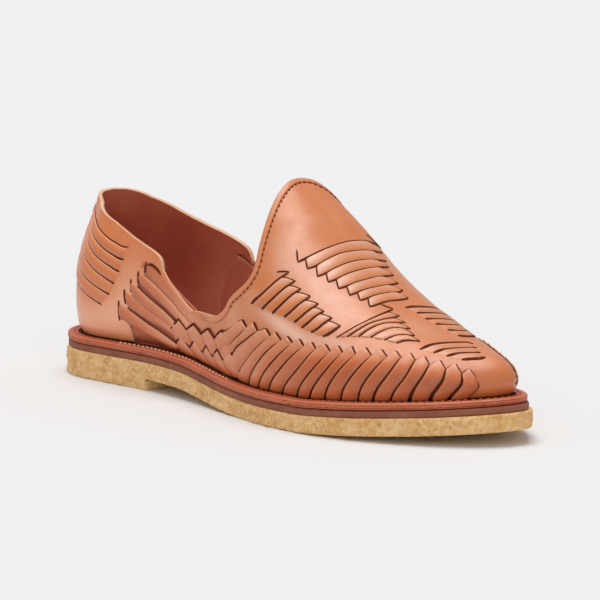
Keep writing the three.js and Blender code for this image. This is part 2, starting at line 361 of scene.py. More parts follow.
class MeshMaker:
    """Collects grids into one mesh that has tone and edge attributes and a UV map of 100 mm to the unit."""

    UV_UNIT = 100.0  # mm to one unit of the UV map

    def __init__(self) -> None:
        """Starts an empty mesh."""
        self.mesh = bmesh.new()
        self.tone = self.mesh.verts.layers.float.new("tone")
        self.edge = self.mesh.verts.layers.float.new("edge")
        self.uv = self.mesh.loops.layers.uv.new("UVMap")

    def grid(self, rows: int, columns: int, place: Place, outward: Array | None = None) -> None:
        """Adds a grid.

        Args:
            rows: number of corners along the grid.
            columns: number of corners across it.
            place: gives positions in mm, tones, edge values and UVs for arrays of row and column numbers.
            outward: a direction the first face must look along, or None to keep the grid's own.
        """
        made = bmesh.ops.create_grid(self.mesh, x_segments=rows - 1, y_segments=columns - 1, size=0.5)
        verts = made["verts"]
        spots = np.array([(v.co.x + 0.5, v.co.y + 0.5) for v in verts])
        i = np.rint(spots[:, 0] * (rows - 1)).astype(int)
        j = np.rint(spots[:, 1] * (columns - 1)).astype(int)
        position, tone, edge, uv = place(i, j)
        for vert, where, shade, rim in zip(verts, position * MM, tone, edge):
            vert.co = where
            vert[self.tone] = shade
            vert[self.edge] = rim
        flat = {vert: (u / self.UV_UNIT, v / self.UV_UNIT) for vert, (u, v) in zip(verts, uv)}
        faces = {face for vert in verts for face in vert.link_faces}
        for face in faces:
            for loop in face.loops:
                loop[self.uv].uv = flat[loop.vert]
        if outward is not None:
            facing = Vector((0.0, 0.0, 0.0))
            for face in faces:
                face.normal_update()
                facing += face.normal * face.calc_area()
            if facing.dot(Vector(outward)) < 0:
                bmesh.ops.reverse_faces(self.mesh, faces=list(faces))

    def finish(
        self,
        name: str,
        materials: Sequence[bpy.types.Material],
        slot: str,
        wall: float = 0.0,
        inside: int = 0,
        rim: int = 0,
    ) -> bpy.types.Object:
        """Args:
            name: the piece's name.
            materials: its materials, in slot order.
            slot: not used.
            wall: how thick the sheet becomes, inwards, in mm, or nought for a closed piece.
            inside: how many material slots further the inner face's material is.
            rim: the same for the cut edge.

        Returns:
            The new object, riding on the root.
        """
        data = bpy.data.meshes.new(name)
        for face in self.mesh.faces:
            face.smooth = True
        self.mesh.to_mesh(data)
        self.mesh.free()
        for material in materials:
            data.materials.append(material)
        piece = bpy.data.objects.new(name, data)
        bpy.context.scene.collection.objects.link(piece)
        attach(piece, "root")
        if wall:
            sheet = piece.modifiers.new("wall", "SOLIDIFY")
            sheet.thickness = wall * MM
            sheet.offset = -1
            sheet.use_even_offset = False
            sheet.material_offset = inside
            sheet.material_offset_rim = rim
        return piece


class StripMaker:
    """Lays strips, and the dark hollows under them, which are sheets of painted shade, on the last."""

    # all in mm, but for the fraction of its length at which a strip starts to lean towards its tip
    ROUND = 0.45  # over which a strip's cut edge rounds off
    FIRST = 0.12  # from a strip's edge to its first row of corners
    RIM = 0.5  # width of the paler cut edge, partly painted highlight
    EDGE_HEIGHT = 0.2
    SHADE_REACH = 1.1
    DIVE_REACH = 5.0
    LEAN_FROM = 0.45
    ROW = 2.6
    HOLLOW_ROW = 2.0
    HOLLOW_LIFT = 0.06
    HOLLOW_GROW = 0.70
    HOLLOW_SIDE = 0.12
    HOLLOW_WALL = 0.3
    CUT_ROW = 1.6
    CUT_CROWN = 0.05

    def __init__(self, chart: Chart) -> None:
        """Starts the strips' mesh and the hollows' mesh for one chart."""
        self.chart = chart
        self.strips = MeshMaker()
        self.hollows = MeshMaker()

    def _spots(self, strip: Strip, a: Array, b: Array) -> Array:
        """Returns the chart spots at fractions along and across a strip."""
        left, right = Track(strip.left), Track(strip.right)
        far = 1 - self.LEAN_FROM
        across = b[..., None]
        spots = left(a) * (1 - across) + right(a) * across
        for tip, at, end, weight in (
            (strip.finish_tip, strip.finish_at, 1.0, np.clip((a - self.LEAN_FROM) / far, 0, None) ** 2),
            (strip.start_tip, strip.start_at, 0.0, np.clip((far - a) / far, 0, None) ** 2),
        ):
            if tip is None:
                continue
            flat = left(np.array(end)) * (1 - at) + right(np.array(end)) * at
            share = np.where(b < at, b / at, (1 - b) / (1 - at))
            spots = spots + (np.array(tip) - flat) * (share * weight)[..., None]
        return spots

    def _size(self, strip: Strip) -> tuple[float, float]:
        """Returns a strip's length and its width, in mm."""
        a = np.linspace(0, 1, 9)
        half = np.full(9, 0.5)
        middle = self._spots(strip, a, half)
        points = FORM.surface(self.chart, middle[:, 0], middle[:, 1])
        length = float(np.linalg.norm(np.diff(points, axis=0), axis=1).sum())
        sides = [self._spots(strip, np.array([0.3, 0.5, 0.7]), np.full(3, b)) for b in (0.0, 1.0)]
        left, right = (FORM.surface(self.chart, s[:, 0], s[:, 1]) for s in sides)
        chord = left - right
        direction = points[6] - points[2]
        direction /= np.linalg.norm(direction)
        chord = chord - (chord @ direction)[:, None] * direction
        return length, float(np.linalg.norm(chord, axis=1).mean())

    def lay(self, strip: Strip, hollow: bool = True, lift: float = 0.0) -> None:
        """Adds a strip and its hollow.

        Args:
            strip: what to lay.
            hollow: whether a dark hollow goes under it.
            lift: how much higher than the last it lies, in mm.
        """
        length, width = self._size(strip)
        rounding = min(self.ROUND, width * 0.3)
        ends = np.array([0, self.FIRST, rounding, min(1.4, length * 0.15)])
        middle = np.linspace(ends[-1], length - ends[-1], max(4, int(length / self.ROW)))[1:-1]
        along = np.concatenate([ends, middle, length - ends[::-1]]) / length
        sides = np.array([0, self.FIRST, rounding]) / width
        over = np.concatenate([sides, [0.3, 0.5, 0.7], 1 - sides[::-1]])
        for tip, at in ((strip.finish_tip, strip.finish_at), (strip.start_tip, strip.start_at)):
            if tip is not None:
                over[int(np.argmin(np.abs(over - at)))] = at
        outward = FORM.outward(self.chart, *self._spots(strip, np.array(0.5), np.array(0.5)))

        def place(i: Array, j: Array) -> Corners:
            a, b = along[i], over[j]
            gap_left = np.interp(a, *zip(*strip.gap_left)) / width
            gap_right = np.interp(a, *zip(*strip.gap_right)) / width
            gap_end = strip.end_gap / length
            inner = gap_left + b * (1 - gap_left - gap_right)
            spots = self._spots(strip, gap_end + a * (1 - 2 * gap_end), inner)
            rim = np.minimum(np.minimum(b, 1 - b) * width, np.minimum(a, 1 - a) * length)
            shape = np.sqrt(np.clip(1 - (1 - np.clip(rim / rounding, 0, 1)) ** 2, 0, 1))
            height = self.EDGE_HEIGHT + (strip.height - self.EDGE_HEIGHT) * shape
            height += strip.crown * (1 - (2 * b - 1) ** 2)
            for dive, far in ((strip.start_dive, a), (strip.finish_dive, 1 - a)):
                height = height - dive * np.clip(1 - far * length / self.DIVE_REACH, 0, 1) ** 2
            # painted highlight and painted shade: along the strip, and near its sides
            tone = np.interp(a, *zip(*strip.tone))
            tone += strip.left_shade * np.exp(-b * width / self.SHADE_REACH)
            tone += strip.right_shade * np.exp((b - 1) * width / self.SHADE_REACH)
            edge = np.clip(1 - rim / self.RIM, 0, 1)
            points = FORM.lifted(self.chart, spots[:, 0], spots[:, 1], height + lift)
            return points, tone, edge, np.stack([a * length, b * width], -1)

        self.strips.grid(len(along), len(over), place, outward)
        if not hollow:
            return
        rows, columns = max(4, int(length / self.HOLLOW_ROW)), max(4, int(width / self.HOLLOW_ROW) + 1)
        grow_end, grow_side = self.HOLLOW_GROW / length, self.HOLLOW_SIDE / width

        def under(i: Array, j: Array) -> Corners:
            a = -grow_end + (1 + 2 * grow_end) * i / (rows - 1)
            b = -grow_side + (1 + 2 * grow_side) * j / (columns - 1)
            spots = self._spots(strip, a, b)
            points = FORM.lifted(self.chart, spots[:, 0], spots[:, 1], self.HOLLOW_LIFT + lift)
            blank = np.zeros(len(a))
            return points, blank, blank, np.stack([a * length, b * width], -1)

        if strip.finish_tip is not None or strip.start_tip is not None:
            columns = max(columns, 5)
        self.hollows.grid(rows, columns, under, outward)

    def cut(self, run: Spots, widths: Spots, lift: float = 0.0) -> None:
        """Adds the dark hollow of one slit, a sheet of painted shade.

        Args:
            run: the middle of the slit.
            widths: the slit's half width in mm at fractions of its run.
            lift: how much higher than the last it lies, in mm.
        """
        track = Track(run)
        coarse = track(np.linspace(0, 1, 9))
        steps = np.diff(FORM.surface(self.chart, coarse[:, 0], coarse[:, 1]), axis=0)
        rows = max(5, int(np.linalg.norm(steps, axis=1).sum() / self.CUT_ROW))
        spots = track(np.linspace(0, 1, rows))
        half = np.interp(np.linspace(0, 1, rows), *zip(*widths))
        left, right = (FORM.beside(self.chart, spots, way) - spots for way in (1.0, -1.0))

        def place(i: Array, j: Array) -> Corners:
            over = np.abs(j - 1)
            way = np.where((j == 0)[:, None], left[i], right[i])
            where = spots[i] + way * (over * half[i])[:, None]
            high = self.HOLLOW_LIFT + lift + self.CUT_CROWN * (1 - over)
            points = FORM.lifted(self.chart, where[:, 0], where[:, 1], high)
            blank = np.zeros(len(i))
            return points, blank, blank, np.stack([i * self.CUT_ROW, j * 0.5], -1)

        middle = spots[rows // 2]
        self.hollows.grid(rows, 3, place, FORM.outward(self.chart, middle[0], middle[1]))

    def finish_strips(self, name: str, material: bpy.types.Material, wall: float) -> bpy.types.Object:
        """Makes the strips laid so far one piece, and starts a new one."""
        piece = self.strips.finish(name, [material], "upper_leather", wall)
        self.strips = MeshMaker()
        return piece

    def finish_hollows(self, name: str, material: bpy.types.Material) -> bpy.types.Object:
        """Makes all the hollows one piece."""
        return self.hollows.finish(name, [material], "lining_leather", self.HOLLOW_WALL)


# ---------------------------------------------------------------- finishes


class Effects:
    """The shader node groups that several materials share."""

    @staticmethod
    def _group(
        name: str, inputs: Sequence[tuple[str, float]], outputs: Sequence[str]
    ) -> bpy.types.NodeTree:
        """Starts a group with float inputs and float outputs."""
        tree = bpy.data.node_groups.new(name, "ShaderNodeTree")
        for label, default in inputs:
            socket = tree.interface.new_socket(label, in_out="INPUT", socket_type="NodeSocketFloat")
            socket.default_value = default
        for label in outputs:
            tree.interface.new_socket(label, in_out="OUTPUT", socket_type="NodeSocketFloat")
        return tree

    @staticmethod
    @cache
    def grain() -> bpy.types.NodeTree:
        """Builds pebbled leather grain: a height and a fleck mask."""
        tree = Effects._group("leather_grain", (("Scale", 900.0),), ("Height", "Fleck"))
        node = Wiring(tree)
        into = node.add("NodeGroupInput")
        out = node.add("NodeGroupOutput")
        where = node.add("ShaderNodeTexCoord")
        pebble = node.add("ShaderNodeTexVoronoi", feature="SMOOTH_F1")
        pores = node.add("ShaderNodeTexNoise", Detail=5.0, Roughness=0.7)
        total = node.add("ShaderNodeMath", operation="MULTIPLY_ADD", value_1=0.5)
        node.link(where, "Object", pebble, "Vector")
        node.link(where, "Object", pores, "Vector")
        node.link(into, "Scale", pebble, "Scale")
        node.link(into, "Scale", pores, "Scale")
        node.link(pebble, "Distance", total, 0)
        node.link(pores, "Fac", total, 2)
        node.link(total, "Value", out, "Height")
        fleck = node.add("ShaderNodeMapRange", From_Min=0.42, From_Max=0.62)
        node.link(pores, "Fac", fleck, "Value")
        node.link(fleck, "Result", out, "Fleck")
        return tree

    @staticmethod
    @cache
    def clouds() -> bpy.types.NodeTree:
        """Builds large soft patches, as in hand-dyed leather: one mask."""
        tree = Effects._group("dye_clouds", (("Scale", 30.0), ("Low", 0.38), ("High", 0.66)), ("Mask",))
        node = Wiring(tree)
        into = node.add("NodeGroupInput")
        out = node.add("NodeGroupOutput")
        where = node.add("ShaderNodeTexCoord")
        cloud = node.add("ShaderNodeTexNoise", Detail=3.0, Roughness=0.55, Distortion=0.4)
        ramp = node.add("ShaderNodeMapRange", interpolation_type="SMOOTHSTEP")
        node.link(where, "Object", cloud, "Vector")
        node.link(into, "Scale", cloud, "Scale")
        node.link(cloud, "Fac", ramp, "Value")
        node.link(into, "Low", ramp, "From Min")
        node.link(into, "High", ramp, "From Max")
        node.link(ramp, "Result", out, "Mask")
        return tree

    @staticmethod
    @cache
    def piece_marks() -> bpy.types.NodeTree:
        """Builds masks from a piece's own attributes: its cut edge, and its paler and darker tones, which
        carry painted highlight and painted shade as well as the leather's own tone.
        """
        tree = Effects._group("piece_marks", (), ("Edge", "Pale", "Dark"))
        node = Wiring(tree)
        out = node.add("NodeGroupOutput")
        edge = node.add("ShaderNodeAttribute", attribute_name="edge")
        tone = node.add("ShaderNodeAttribute", attribute_name="tone")
        pale = node.add("ShaderNodeMath", operation="MAXIMUM", value_1=0.0)
        flip = node.add("ShaderNodeMath", operation="MULTIPLY", value_1=-1.0)
        dark = node.add("ShaderNodeMath", operation="MAXIMUM", value_1=0.0)
        node.link(edge, "Fac", out, "Edge")
        node.link(tone, "Fac", pale, 0)
        node.link(pale, "Value", out, "Pale")
        node.link(tone, "Fac", flip, 0)
        node.link(flip, "Value", dark, 0)
        node.link(dark, "Value", out, "Dark")
        return tree


class Wiring:
    """Short words for adding and joining shader nodes."""

    def __init__(self, tree: bpy.types.NodeTree) -> None:
        """Keeps the tree."""
        self.tree = tree

    @staticmethod
    def start(name: str) -> "tuple[bpy.types.Material, Wiring, bpy.types.Node]":
        """Makes a material, and returns it with its wiring and its shader."""
        material = bpy.data.materials.new(name)
        material.use_nodes = True
        return material, Wiring(material.node_tree), material.node_tree.nodes["Principled BSDF"]

    def add(self, kind: str, **settings: object) -> bpy.types.Node:
        """Adds a node.

        Args:
            kind: the node's class name.
            settings: node properties, input values by name with _ for a space, or value_N for input N.

        Returns:
            The node.
        """
        made = self.tree.nodes.new(kind)
        for key, value in settings.items():
            if key.startswith("value_"):
                made.inputs[int(key[6:])].default_value = value
            elif hasattr(made, key):
                setattr(made, key, value)
            else:
                made.inputs[key.replace("_", " ")].default_value = value
        return made

    def group(self, tree: bpy.types.NodeTree, **settings: float) -> bpy.types.Node:
        """Places a shared effect with its own values."""
        made = self.tree.nodes.new("ShaderNodeGroup")
        made.node_tree = tree
        for key, value in settings.items():
            made.inputs[key].default_value = value
        return made

    def link(self, a: bpy.types.Node, out: str | int, b: bpy.types.Node, into: str | int) -> None:
        """Joins an output to an input."""
        self.tree.links.new(a.outputs[out], b.inputs[into])

    def mix(
        self, mask: Output, first: Output | Colour, second: Colour, factor: float = 1.0
    ) -> Output:
        """Mixes towards a colour by a mask.

        Args:
            mask: the node and output that give the mask.
            first: a colour, or the node and output of one.
            second: the colour mixed in.
            factor: how strongly, at a full mask.

        Returns:
            The mixing node and its colour output.
        """
        scale = self.add("ShaderNodeMath", operation="MULTIPLY", value_1=factor, use_clamp=True)
        self.link(mask[0], mask[1], scale, 0)
        made = self.tree.nodes.new("ShaderNodeMix")
        made.data_type = "RGBA"
        self.link(scale, "Value", made, 0)
        if isinstance(first[0], bpy.types.Node):
            self.link(first[0], first[1], made, 6)
        else:
            made.inputs[6].default_value = (*first, 1)
        made.inputs[7].default_value = (*second, 1)
        return made, 2


@dataclass(frozen=True)
class LeatherFinish:
    """Dyed and oiled leather, with dye clouds, grain, paler cut rims that are partly painted highlight, and
    the piece's tones, which paint highlight and shade.
    """

    name: str
    base: Colour
    cloud: Colour
    # pale and dark are what the piece's tone mixes towards: painted highlight and painted shade as well as
    # the leather's own tone; dark also tints the fine clouds and flecks, and rim is the paler cut rim,
    # partly painted highlight
    pale: Colour
    dark: Colour
    rim: Colour
    rim_strength: float = 0.6
    cloud_strength: float = 0.55
    roughness: float = 0.42
    grain_scale: float = 700.0
    bump: float = 0.12
    coat: float = 0.12
    cloud_scale: float = 28.0

    def material(self) -> bpy.types.Material:
        """Returns the material."""
        material, node, shader = Wiring.start(self.name)
        grain = node.group(Effects.grain(), Scale=self.grain_scale)
        clouds = node.group(Effects.clouds(), Scale=self.cloud_scale)
        fine = node.group(Effects.clouds(), Scale=self.cloud_scale * 7, Low=0.3, High=0.75)
        marks = node.group(Effects.piece_marks())
        colour = node.mix((clouds, "Mask"), self.base, self.cloud, self.cloud_strength)
        colour = node.mix((fine, "Mask"), colour, self.dark, 0.10)
        # the piece's tone: painted highlight towards pale and painted shade towards dark, with some of the
        # leather's own tone
        colour = node.mix((marks, "Pale"), colour, self.pale)
        colour = node.mix((marks, "Dark"), colour, self.dark)
        colour = node.mix((grain, "Fleck"), colour, self.dark, 0.06)
        # the paler cut rim: partly the raw edge's own colour, partly painted highlight
        colour = node.mix((marks, "Edge"), colour, self.rim, self.rim_strength)
        node.link(*colour, shader, "Base Color")
        rough = node.add("ShaderNodeMapRange", To_Min=self.roughness - 0.05, To_Max=self.roughness + 0.12)
        node.link(fine, "Mask", rough, "Value")
        node.link(rough, "Result", shader, "Roughness")
        bump = node.add("ShaderNodeBump", Strength=self.bump, Distance=0.0006)
        node.link(grain, "Height", bump, "Height")
        node.link(bump, "Normal", shader, "Normal")
        shader.inputs["Coat Weight"].default_value = self.coat
        shader.inputs["Coat Roughness"].default_value = 0.32
        shader.inputs["Specular IOR Level"].default_value = 0.45
        return material


@dataclass(frozen=True)
class CrepeFinish:
    """Natural crepe rubber: honey coloured, speckled and crinkled."""

    name: str = "crepe_rubber"
    base: Colour = (0.74, 0.395, 0.135)
    light: Colour = (0.95, 0.67, 0.34)
    dark: Colour = (0.26, 0.12, 0.045)
    roughness: float = 0.72

    def material(self) -> bpy.types.Material:
        """Returns the material."""
        material, node, shader = Wiring.start(self.name)
        large = node.group(Effects.clouds(), Scale=90.0, Low=0.35, High=0.65)
        small = node.group(Effects.clouds(), Scale=420.0, Low=0.40, High=0.62)
        specks = node.group(Effects.clouds(), Scale=700.0, Low=0.56, High=0.70)
        grain = node.group(Effects.grain(), Scale=380.0)
        colour = node.mix((large, "Mask"), self.base, self.light, 0.5)
        colour = node.mix((small, "Mask"), colour, self.light, 0.55)
        colour = node.mix((specks, "Mask"), colour, self.dark, 0.5)
        node.link(*colour, shader, "Base Color")
        bump = node.add("ShaderNodeBump", Strength=0.55, Distance=0.0014)
        node.link(grain, "Height", bump, "Height")
        node.link(bump, "Normal", shader, "Normal")
        shader.inputs["Roughness"].default_value = self.roughness
        shader.inputs["Specular IOR Level"].default_value = 0.3
        return material


@dataclass(frozen=True)
class PlainFinish:
    """A thread, a shadowed hollow or the studio floor."""

    name: str
    base: Colour
    cloud: Colour
    roughness: float = 0.8
    scale: float = 200.0

    def material(self) -> bpy.types.Material:
        """Returns the material."""
        material, node, shader = Wiring.start(self.name)
        clouds = node.group(Effects.clouds(), Scale=self.scale)
        node.link(*node.mix((clouds, "Mask"), self.base, self.cloud, 0.6), shader, "Base Color")
        shader.inputs["Roughness"].default_value = self.roughness
        shader.inputs["Specular IOR Level"].default_value = 0.2
        return material


@dataclass
class Palette:
    """Every finish of the shoe, made once."""

    strap: bpy.types.Material = field(default_factory=lambda: LeatherFinish(
        "woven_strap_leather", (0.65, 0.148, 0.036), (0.66, 0.195, 0.065), (0.86, 0.42, 0.25),
        (0.30, 0.058, 0.018), (0.90, 0.48, 0.26), 0.5, coat=0.3, roughness=0.40).material())
    sheet: bpy.types.Material = field(default_factory=lambda: LeatherFinish(
        "upper_sheet_leather", (0.68, 0.205, 0.060), (0.72, 0.26, 0.11), (0.88, 0.52, 0.38),
        (0.42, 0.095, 0.026), (0.92, 0.52, 0.30), 0.5, roughness=0.38, coat=0.3).material())
    counter: bpy.types.Material = field(default_factory=lambda: LeatherFinish(
        "counter_leather", (0.74, 0.205, 0.054), (0.77, 0.25, 0.09), (0.96, 0.48, 0.30),
        (0.42, 0.085, 0.022), (0.92, 0.52, 0.30), 0.5, roughness=0.38, coat=0.3).material())
    lining: bpy.types.Material = field(default_factory=lambda: LeatherFinish(
        "lining_leather", (0.52, 0.125, 0.065), (0.60, 0.18, 0.10), (0.66, 0.24, 0.14),
        (0.20, 0.045, 0.022), (0.6, 0.2, 0.10), 0.3, roughness=0.6, coat=0.0).material())
    raw_edge: bpy.types.Material = field(default_factory=lambda: LeatherFinish(
        "raw_edge_leather", (0.84, 0.46, 0.27), (0.90, 0.60, 0.42), (0.9, 0.6, 0.42),
        (0.5, 0.2, 0.09), (0.9, 0.62, 0.42), 0.4, roughness=0.6, coat=0.0).material())
    welt: bpy.types.Material = field(default_factory=lambda: LeatherFinish(
        "welt_leather", (0.57, 0.110, 0.042), (0.64, 0.165, 0.070), (0.72, 0.28, 0.14),
        (0.16, 0.030, 0.012), (0.62, 0.18, 0.08), 0.6, roughness=0.42).material())
    midsole: bpy.types.Material = field(default_factory=lambda: LeatherFinish(
        "midsole_leather", (0.28, 0.088, 0.048), (0.40, 0.15, 0.09), (0.4, 0.18, 0.12),
        (0.10, 0.026, 0.016), (0.30, 0.10, 0.06), 0.3, roughness=0.75, coat=0.0, bump=0.5,
        grain_scale=420.0, cloud_scale=80.0).material())
    crepe: bpy.types.Material = field(default_factory=lambda: CrepeFinish().material())
    # the dark sheets of painted shade in the slits, hollows and the welt crevice
    hollow: bpy.types.Material = field(default_factory=lambda: PlainFinish(
        "slit_shadow", (0.105, 0.018, 0.006), (0.15, 0.032, 0.011), 0.9).material())
    thread: bpy.types.Material = field(default_factory=lambda: PlainFinish(
        "dark_thread", (0.10, 0.028, 0.014), (0.16, 0.05, 0.025), 0.7).material())
    pale_thread: bpy.types.Material = field(default_factory=lambda: PlainFinish(
        "pale_thread", (0.74, 0.44, 0.30), (0.86, 0.62, 0.46), 0.6).material())


# ---------------------------------------------------------------- the upper's sheets


# the share and climb of a patch of tone, how far it reaches each way, and how pale or dark it is: mostly
# painted highlight (pale) and painted shade (dark), with some of the leather's own tone
Patch = tuple[float, float, float, float, float]


def paint_tone_and_light(patches: Sequence[Patch], share: Array, climb: Array) -> Array:
    """Returns how pale (above nought) or dark (below) the leather is painted: mostly painted highlight and
    painted shade, with some of its own tone.
    """
    tone = np.zeros(len(share))
    for at, centre, along, up, strength in patches:
        tone += strength * np.exp(-(((share - at) / along) ** 2) - ((climb - centre) / up) ** 2)
    return tone


@dataclass
class VampSheet:
    """The sheet from the tongue to the toe that carries the weave."""

    palette: Palette
    lift: float = -0.15
    wall: float = 1.7
    rows: int = 96
    columns: int = 151
    weld: float = 0.02
    # share and climb of its rear edge, from the welt up to the tongue's top
    edge: Spots = (
        (0.335, 0.0), (0.342, 0.05), (0.372, 0.085), (0.406, 0.107), (0.436, 0.121), (0.461, 0.133),
        (0.484, 0.162), (0.500, 0.200), (0.508, 0.234), (0.535, 0.300), (0.551, 0.350), (0.557, 0.400),
        (0.553, 0.479), (0.548, 0.560), (0.541, 0.654), (0.528, 0.825), (0.520, 0.940), (0.518, 1.0),
    )
    # paler and darker places: mostly painted highlight on the spine and the tongue and painted shade, with
    # some of the leather's own tone
    tone_and_painted_light: Sequence[Patch] = (
        (0.70, 0.60, 0.095, 0.15, 0.45), (0.615, 0.56, 0.03, 0.10, 0.40), (0.68, 0.292, 0.09, 0.042, 1.0),
        (0.80, 0.37, 0.09, 0.06, 0.75), (0.585, 0.45, 0.018, 0.10, -0.05), (0.955, 0.30, 0.06, 0.22, -0.60),
        (0.52, 0.20, 0.03, 0.05, 0.25), (0.86, 0.86, 0.04, 0.10, 0.20),
    )

    def edge_share(self, climb: Array) -> Array:
        """Returns the rear edge's share at each climb."""
        return Fit([(c, s) for s, c in self.edge], 1)(climb)

    def build(self) -> bpy.types.Object:
        """Builds the sheet and its lining."""
        maker = MeshMaker()

        def place(i: Array, j: Array) -> Corners:
            t = -1 + 2 * j / (self.columns - 1)
            climb = (1 - np.abs(t)) ** 1.25
            across = np.where(t < 0, climb - 1, 1 - climb)
            rear = self.edge_share(climb)
            share = rear + (1 - rear) * np.sin(i / (self.rows - 1) * math.pi / 2)
            crease = self.creases(share, across)
            points = FORM.lifted(Chart.VAMP, share, across, self.lift + crease)
            # painted highlight and painted shade, with some of the leather's own tone
            tone = paint_tone_and_light(self.tone_and_painted_light, share, climb)
            return points, tone, np.zeros(len(i)), np.stack([share * UV_LENGTH, across * UV_HALF], -1)

        maker.grid(self.rows, self.columns, place, np.array([0.0, 0.0, 1.0]))
        bmesh.ops.remove_doubles(maker.mesh, verts=maker.mesh.verts, dist=self.weld * MM)
        materials = [self.palette.sheet, self.palette.lining, self.palette.raw_edge]
        return maker.finish("vamp", materials, "upper_leather", self.wall, inside=1, rim=2)

    @staticmethod
    def creases(share: Array, across: Array) -> Array:
        """Returns the height in mm of the soft troughs and ridges where the leather gives."""
        height = np.zeros(len(share))
        # share and across of the middle, width in share, reach in across, height in mm
        for centre, place, width, reach, depth in (
            (0.600, -0.16, 0.006, 0.16, -0.22), (0.615, 0.10, 0.006, 0.18, -0.18),
            (0.592, -0.36, 0.005, 0.10, -0.20), (0.986, 0.10, 0.006, 0.18, -0.15),
        ):
            run = centre + 0.05 * (across - place)
            height += depth * np.exp(-(((share - run) / width) ** 2) - ((across - place) / reach) ** 2)
        return height


@dataclass
class HeelSheet:
    """The counter that wraps the heel, with the ears its quarter straps come out of."""

    palette: Palette
    lift: float = 0.0
    wall: float = 1.9
    rows: int = 121
    columns: int = 81
    ear_rows: int = 25
    ear_columns: int = 10
    ear_lift: float = 0.03
    highest: float = 0.92
    search_rounds: int = 24
    # x and height of the topline, from behind the heel to the ear
    topline: Spots = (
        (-10, 88.2), (10, 87.8), (20, 85.4), (30, 81.2), (38, 78.0), (45.6, 75.6), (50.4, 74.2),
        (60.1, 71.2), (69.1, 68.7), (77.5, 66.1), (83.3, 64.1), (96, 57),
    )
    # x and height of its front edge, from the welt up to the topline
    front: Spots = (
        (64.4, 20.1), (64.6, 24.5), (63.6, 29.0), (62.8, 33.0), (63.8, 38.0), (66.6, 42.5), (69.6, 46.6),
        (72.6, 50.4), (75.0, 53.2), (76.4, 55.8), (77.3, 58.6), (78.4, 61.6), (80.0, 65.3),
    )
    # x and height of the ear's upper and lower edges, from over the sheet to its tip
    ear: tuple[Spots, Spots] = (
        ((70.0, 68.4), (73.2, 67.5), (77.5, 66.2), (80.6, 65.2), (83.3, 64.1), (85.6, 62.9),
         (87.3, 61.0), (88.3, 58.6), (88.9, 56.6)),
        ((70.0, 60.0), (73.4, 59.4), (76.6, 58.9), (79.6, 59.4), (82.0, 59.0), (84.4, 58.0),
         (86.4, 57.0), (87.8, 56.0), (88.5, 55.2)),
    )
    # paler and darker places, mostly painted highlight and painted shade with some of the leather's own
    # tone; the first, a painted highlight low on the counter, goes all the way round
    tone_and_painted_light: Sequence[Patch] = (
        (0.0, 0.07, 1e6, 0.07, 0.75), (0.08, 0.24, 0.08, 0.06, -0.18), (0.205, 0.17, 0.045, 0.09, 0.30),
    )

    def top_climb(self, share: Array, medial: Array) -> Array:
        """Returns the topline's climb at each share."""
        low, high = np.zeros(len(share)), np.full(len(share), self.highest)
        edge = Fit(self.topline, 1)
        for _ in range(self.search_rounds):
            middle = (low + high) / 2
            point = FORM.rib_point(share, middle, medial)
            under = point[:, 2] < edge(point[:, 0])
            low, high = np.where(under, middle, low), np.where(under, high, middle)
        return low

    def build(self) -> bpy.types.Object:
        """Builds the counter sheet."""
        maker = MeshMaker()
        fronts = {side: Track([FORM.seen_from_side(x, z, side) for x, z in self.front]) for side in Side}
        corners = {side: front(np.array(1.0))[1] for side, front in fronts.items()}

        def place(i: Array, j: Array) -> Corners:
            u = -1 + 2 * i / (self.rows - 1)
            v = j / (self.columns - 1)
            medial = u > 0
            front = np.where(medial[:, None], fronts[Side.MEDIAL](v), fronts[Side.LATERAL](v))
            share = np.abs(u) * front[:, 0]
            blend = np.abs(u) ** 5
            high = self.top_climb(share, medial)
            corner = np.where(medial, corners[Side.MEDIAL], corners[Side.LATERAL])
            climb = v * high * (1 - blend) + front[:, 1] * blend + (high - corner) * blend * v**4
            around = np.where(medial, share, -share)
            points = FORM.lifted(Chart.HEEL, around, climb, np.full(len(i), self.lift))
            # painted highlight and painted shade, with some of the leather's own tone
            tone = paint_tone_and_light(self.tone_and_painted_light, share, climb)
            return points, tone, np.zeros(len(i)), np.stack([around * UV_LENGTH, climb * UV_RISE], -1)

        maker.grid(self.rows, self.columns, place, np.array([-1.0, 0.0, 0.0]))
        for side in Side:
            self.add_ear(maker, side)
        materials = [self.palette.counter, self.palette.lining, self.palette.raw_edge]
        return maker.finish("counter", materials, "upper_leather", self.wall, inside=1, rim=2)

    def add_ear(self, maker: MeshMaker, side: Side) -> None:
        """Adds the ear of one side, which reaches forward over the first strap."""
        upper, lower = (Track([FORM.seen_from_side(x, z, side) for x, z in edge]) for edge in self.ear)

        def place(i: Array, j: Array) -> Corners:
            part = (j / (self.ear_columns - 1))[:, None]
            along = i / (self.ear_rows - 1)
            spots = lower(along) * (1 - part) + upper(along) * part
            around = spots[:, 0] * side.value
            lift = np.full(len(i), self.lift + self.ear_lift)
            points = FORM.lifted(Chart.HEEL, around, spots[:, 1], lift)
            # the ear's painted highlight and painted shade, with some of the leather's own tone
            tone = paint_tone_and_light(self.tone_and_painted_light, spots[:, 0], spots[:, 1])
            unwrapped = np.stack([around * UV_LENGTH, spots[:, 1] * UV_RISE], -1)
            return points, tone, np.zeros(len(i)), unwrapped

        maker.grid(self.ear_rows, self.ear_columns, place, np.array([0.0, float(side.value), 0.0]))


# ---------------------------------------------------------------- the weave


@dataclass(frozen=True)
class Slit:
    """One slit of the side weave, from the welt to its top corner, and the point of the strip before it."""

    run: Spots
    peak: Spot
    foot_gap: float = 0.38
    middle_gap: float = 0.45
    top_gap: float = 0.40


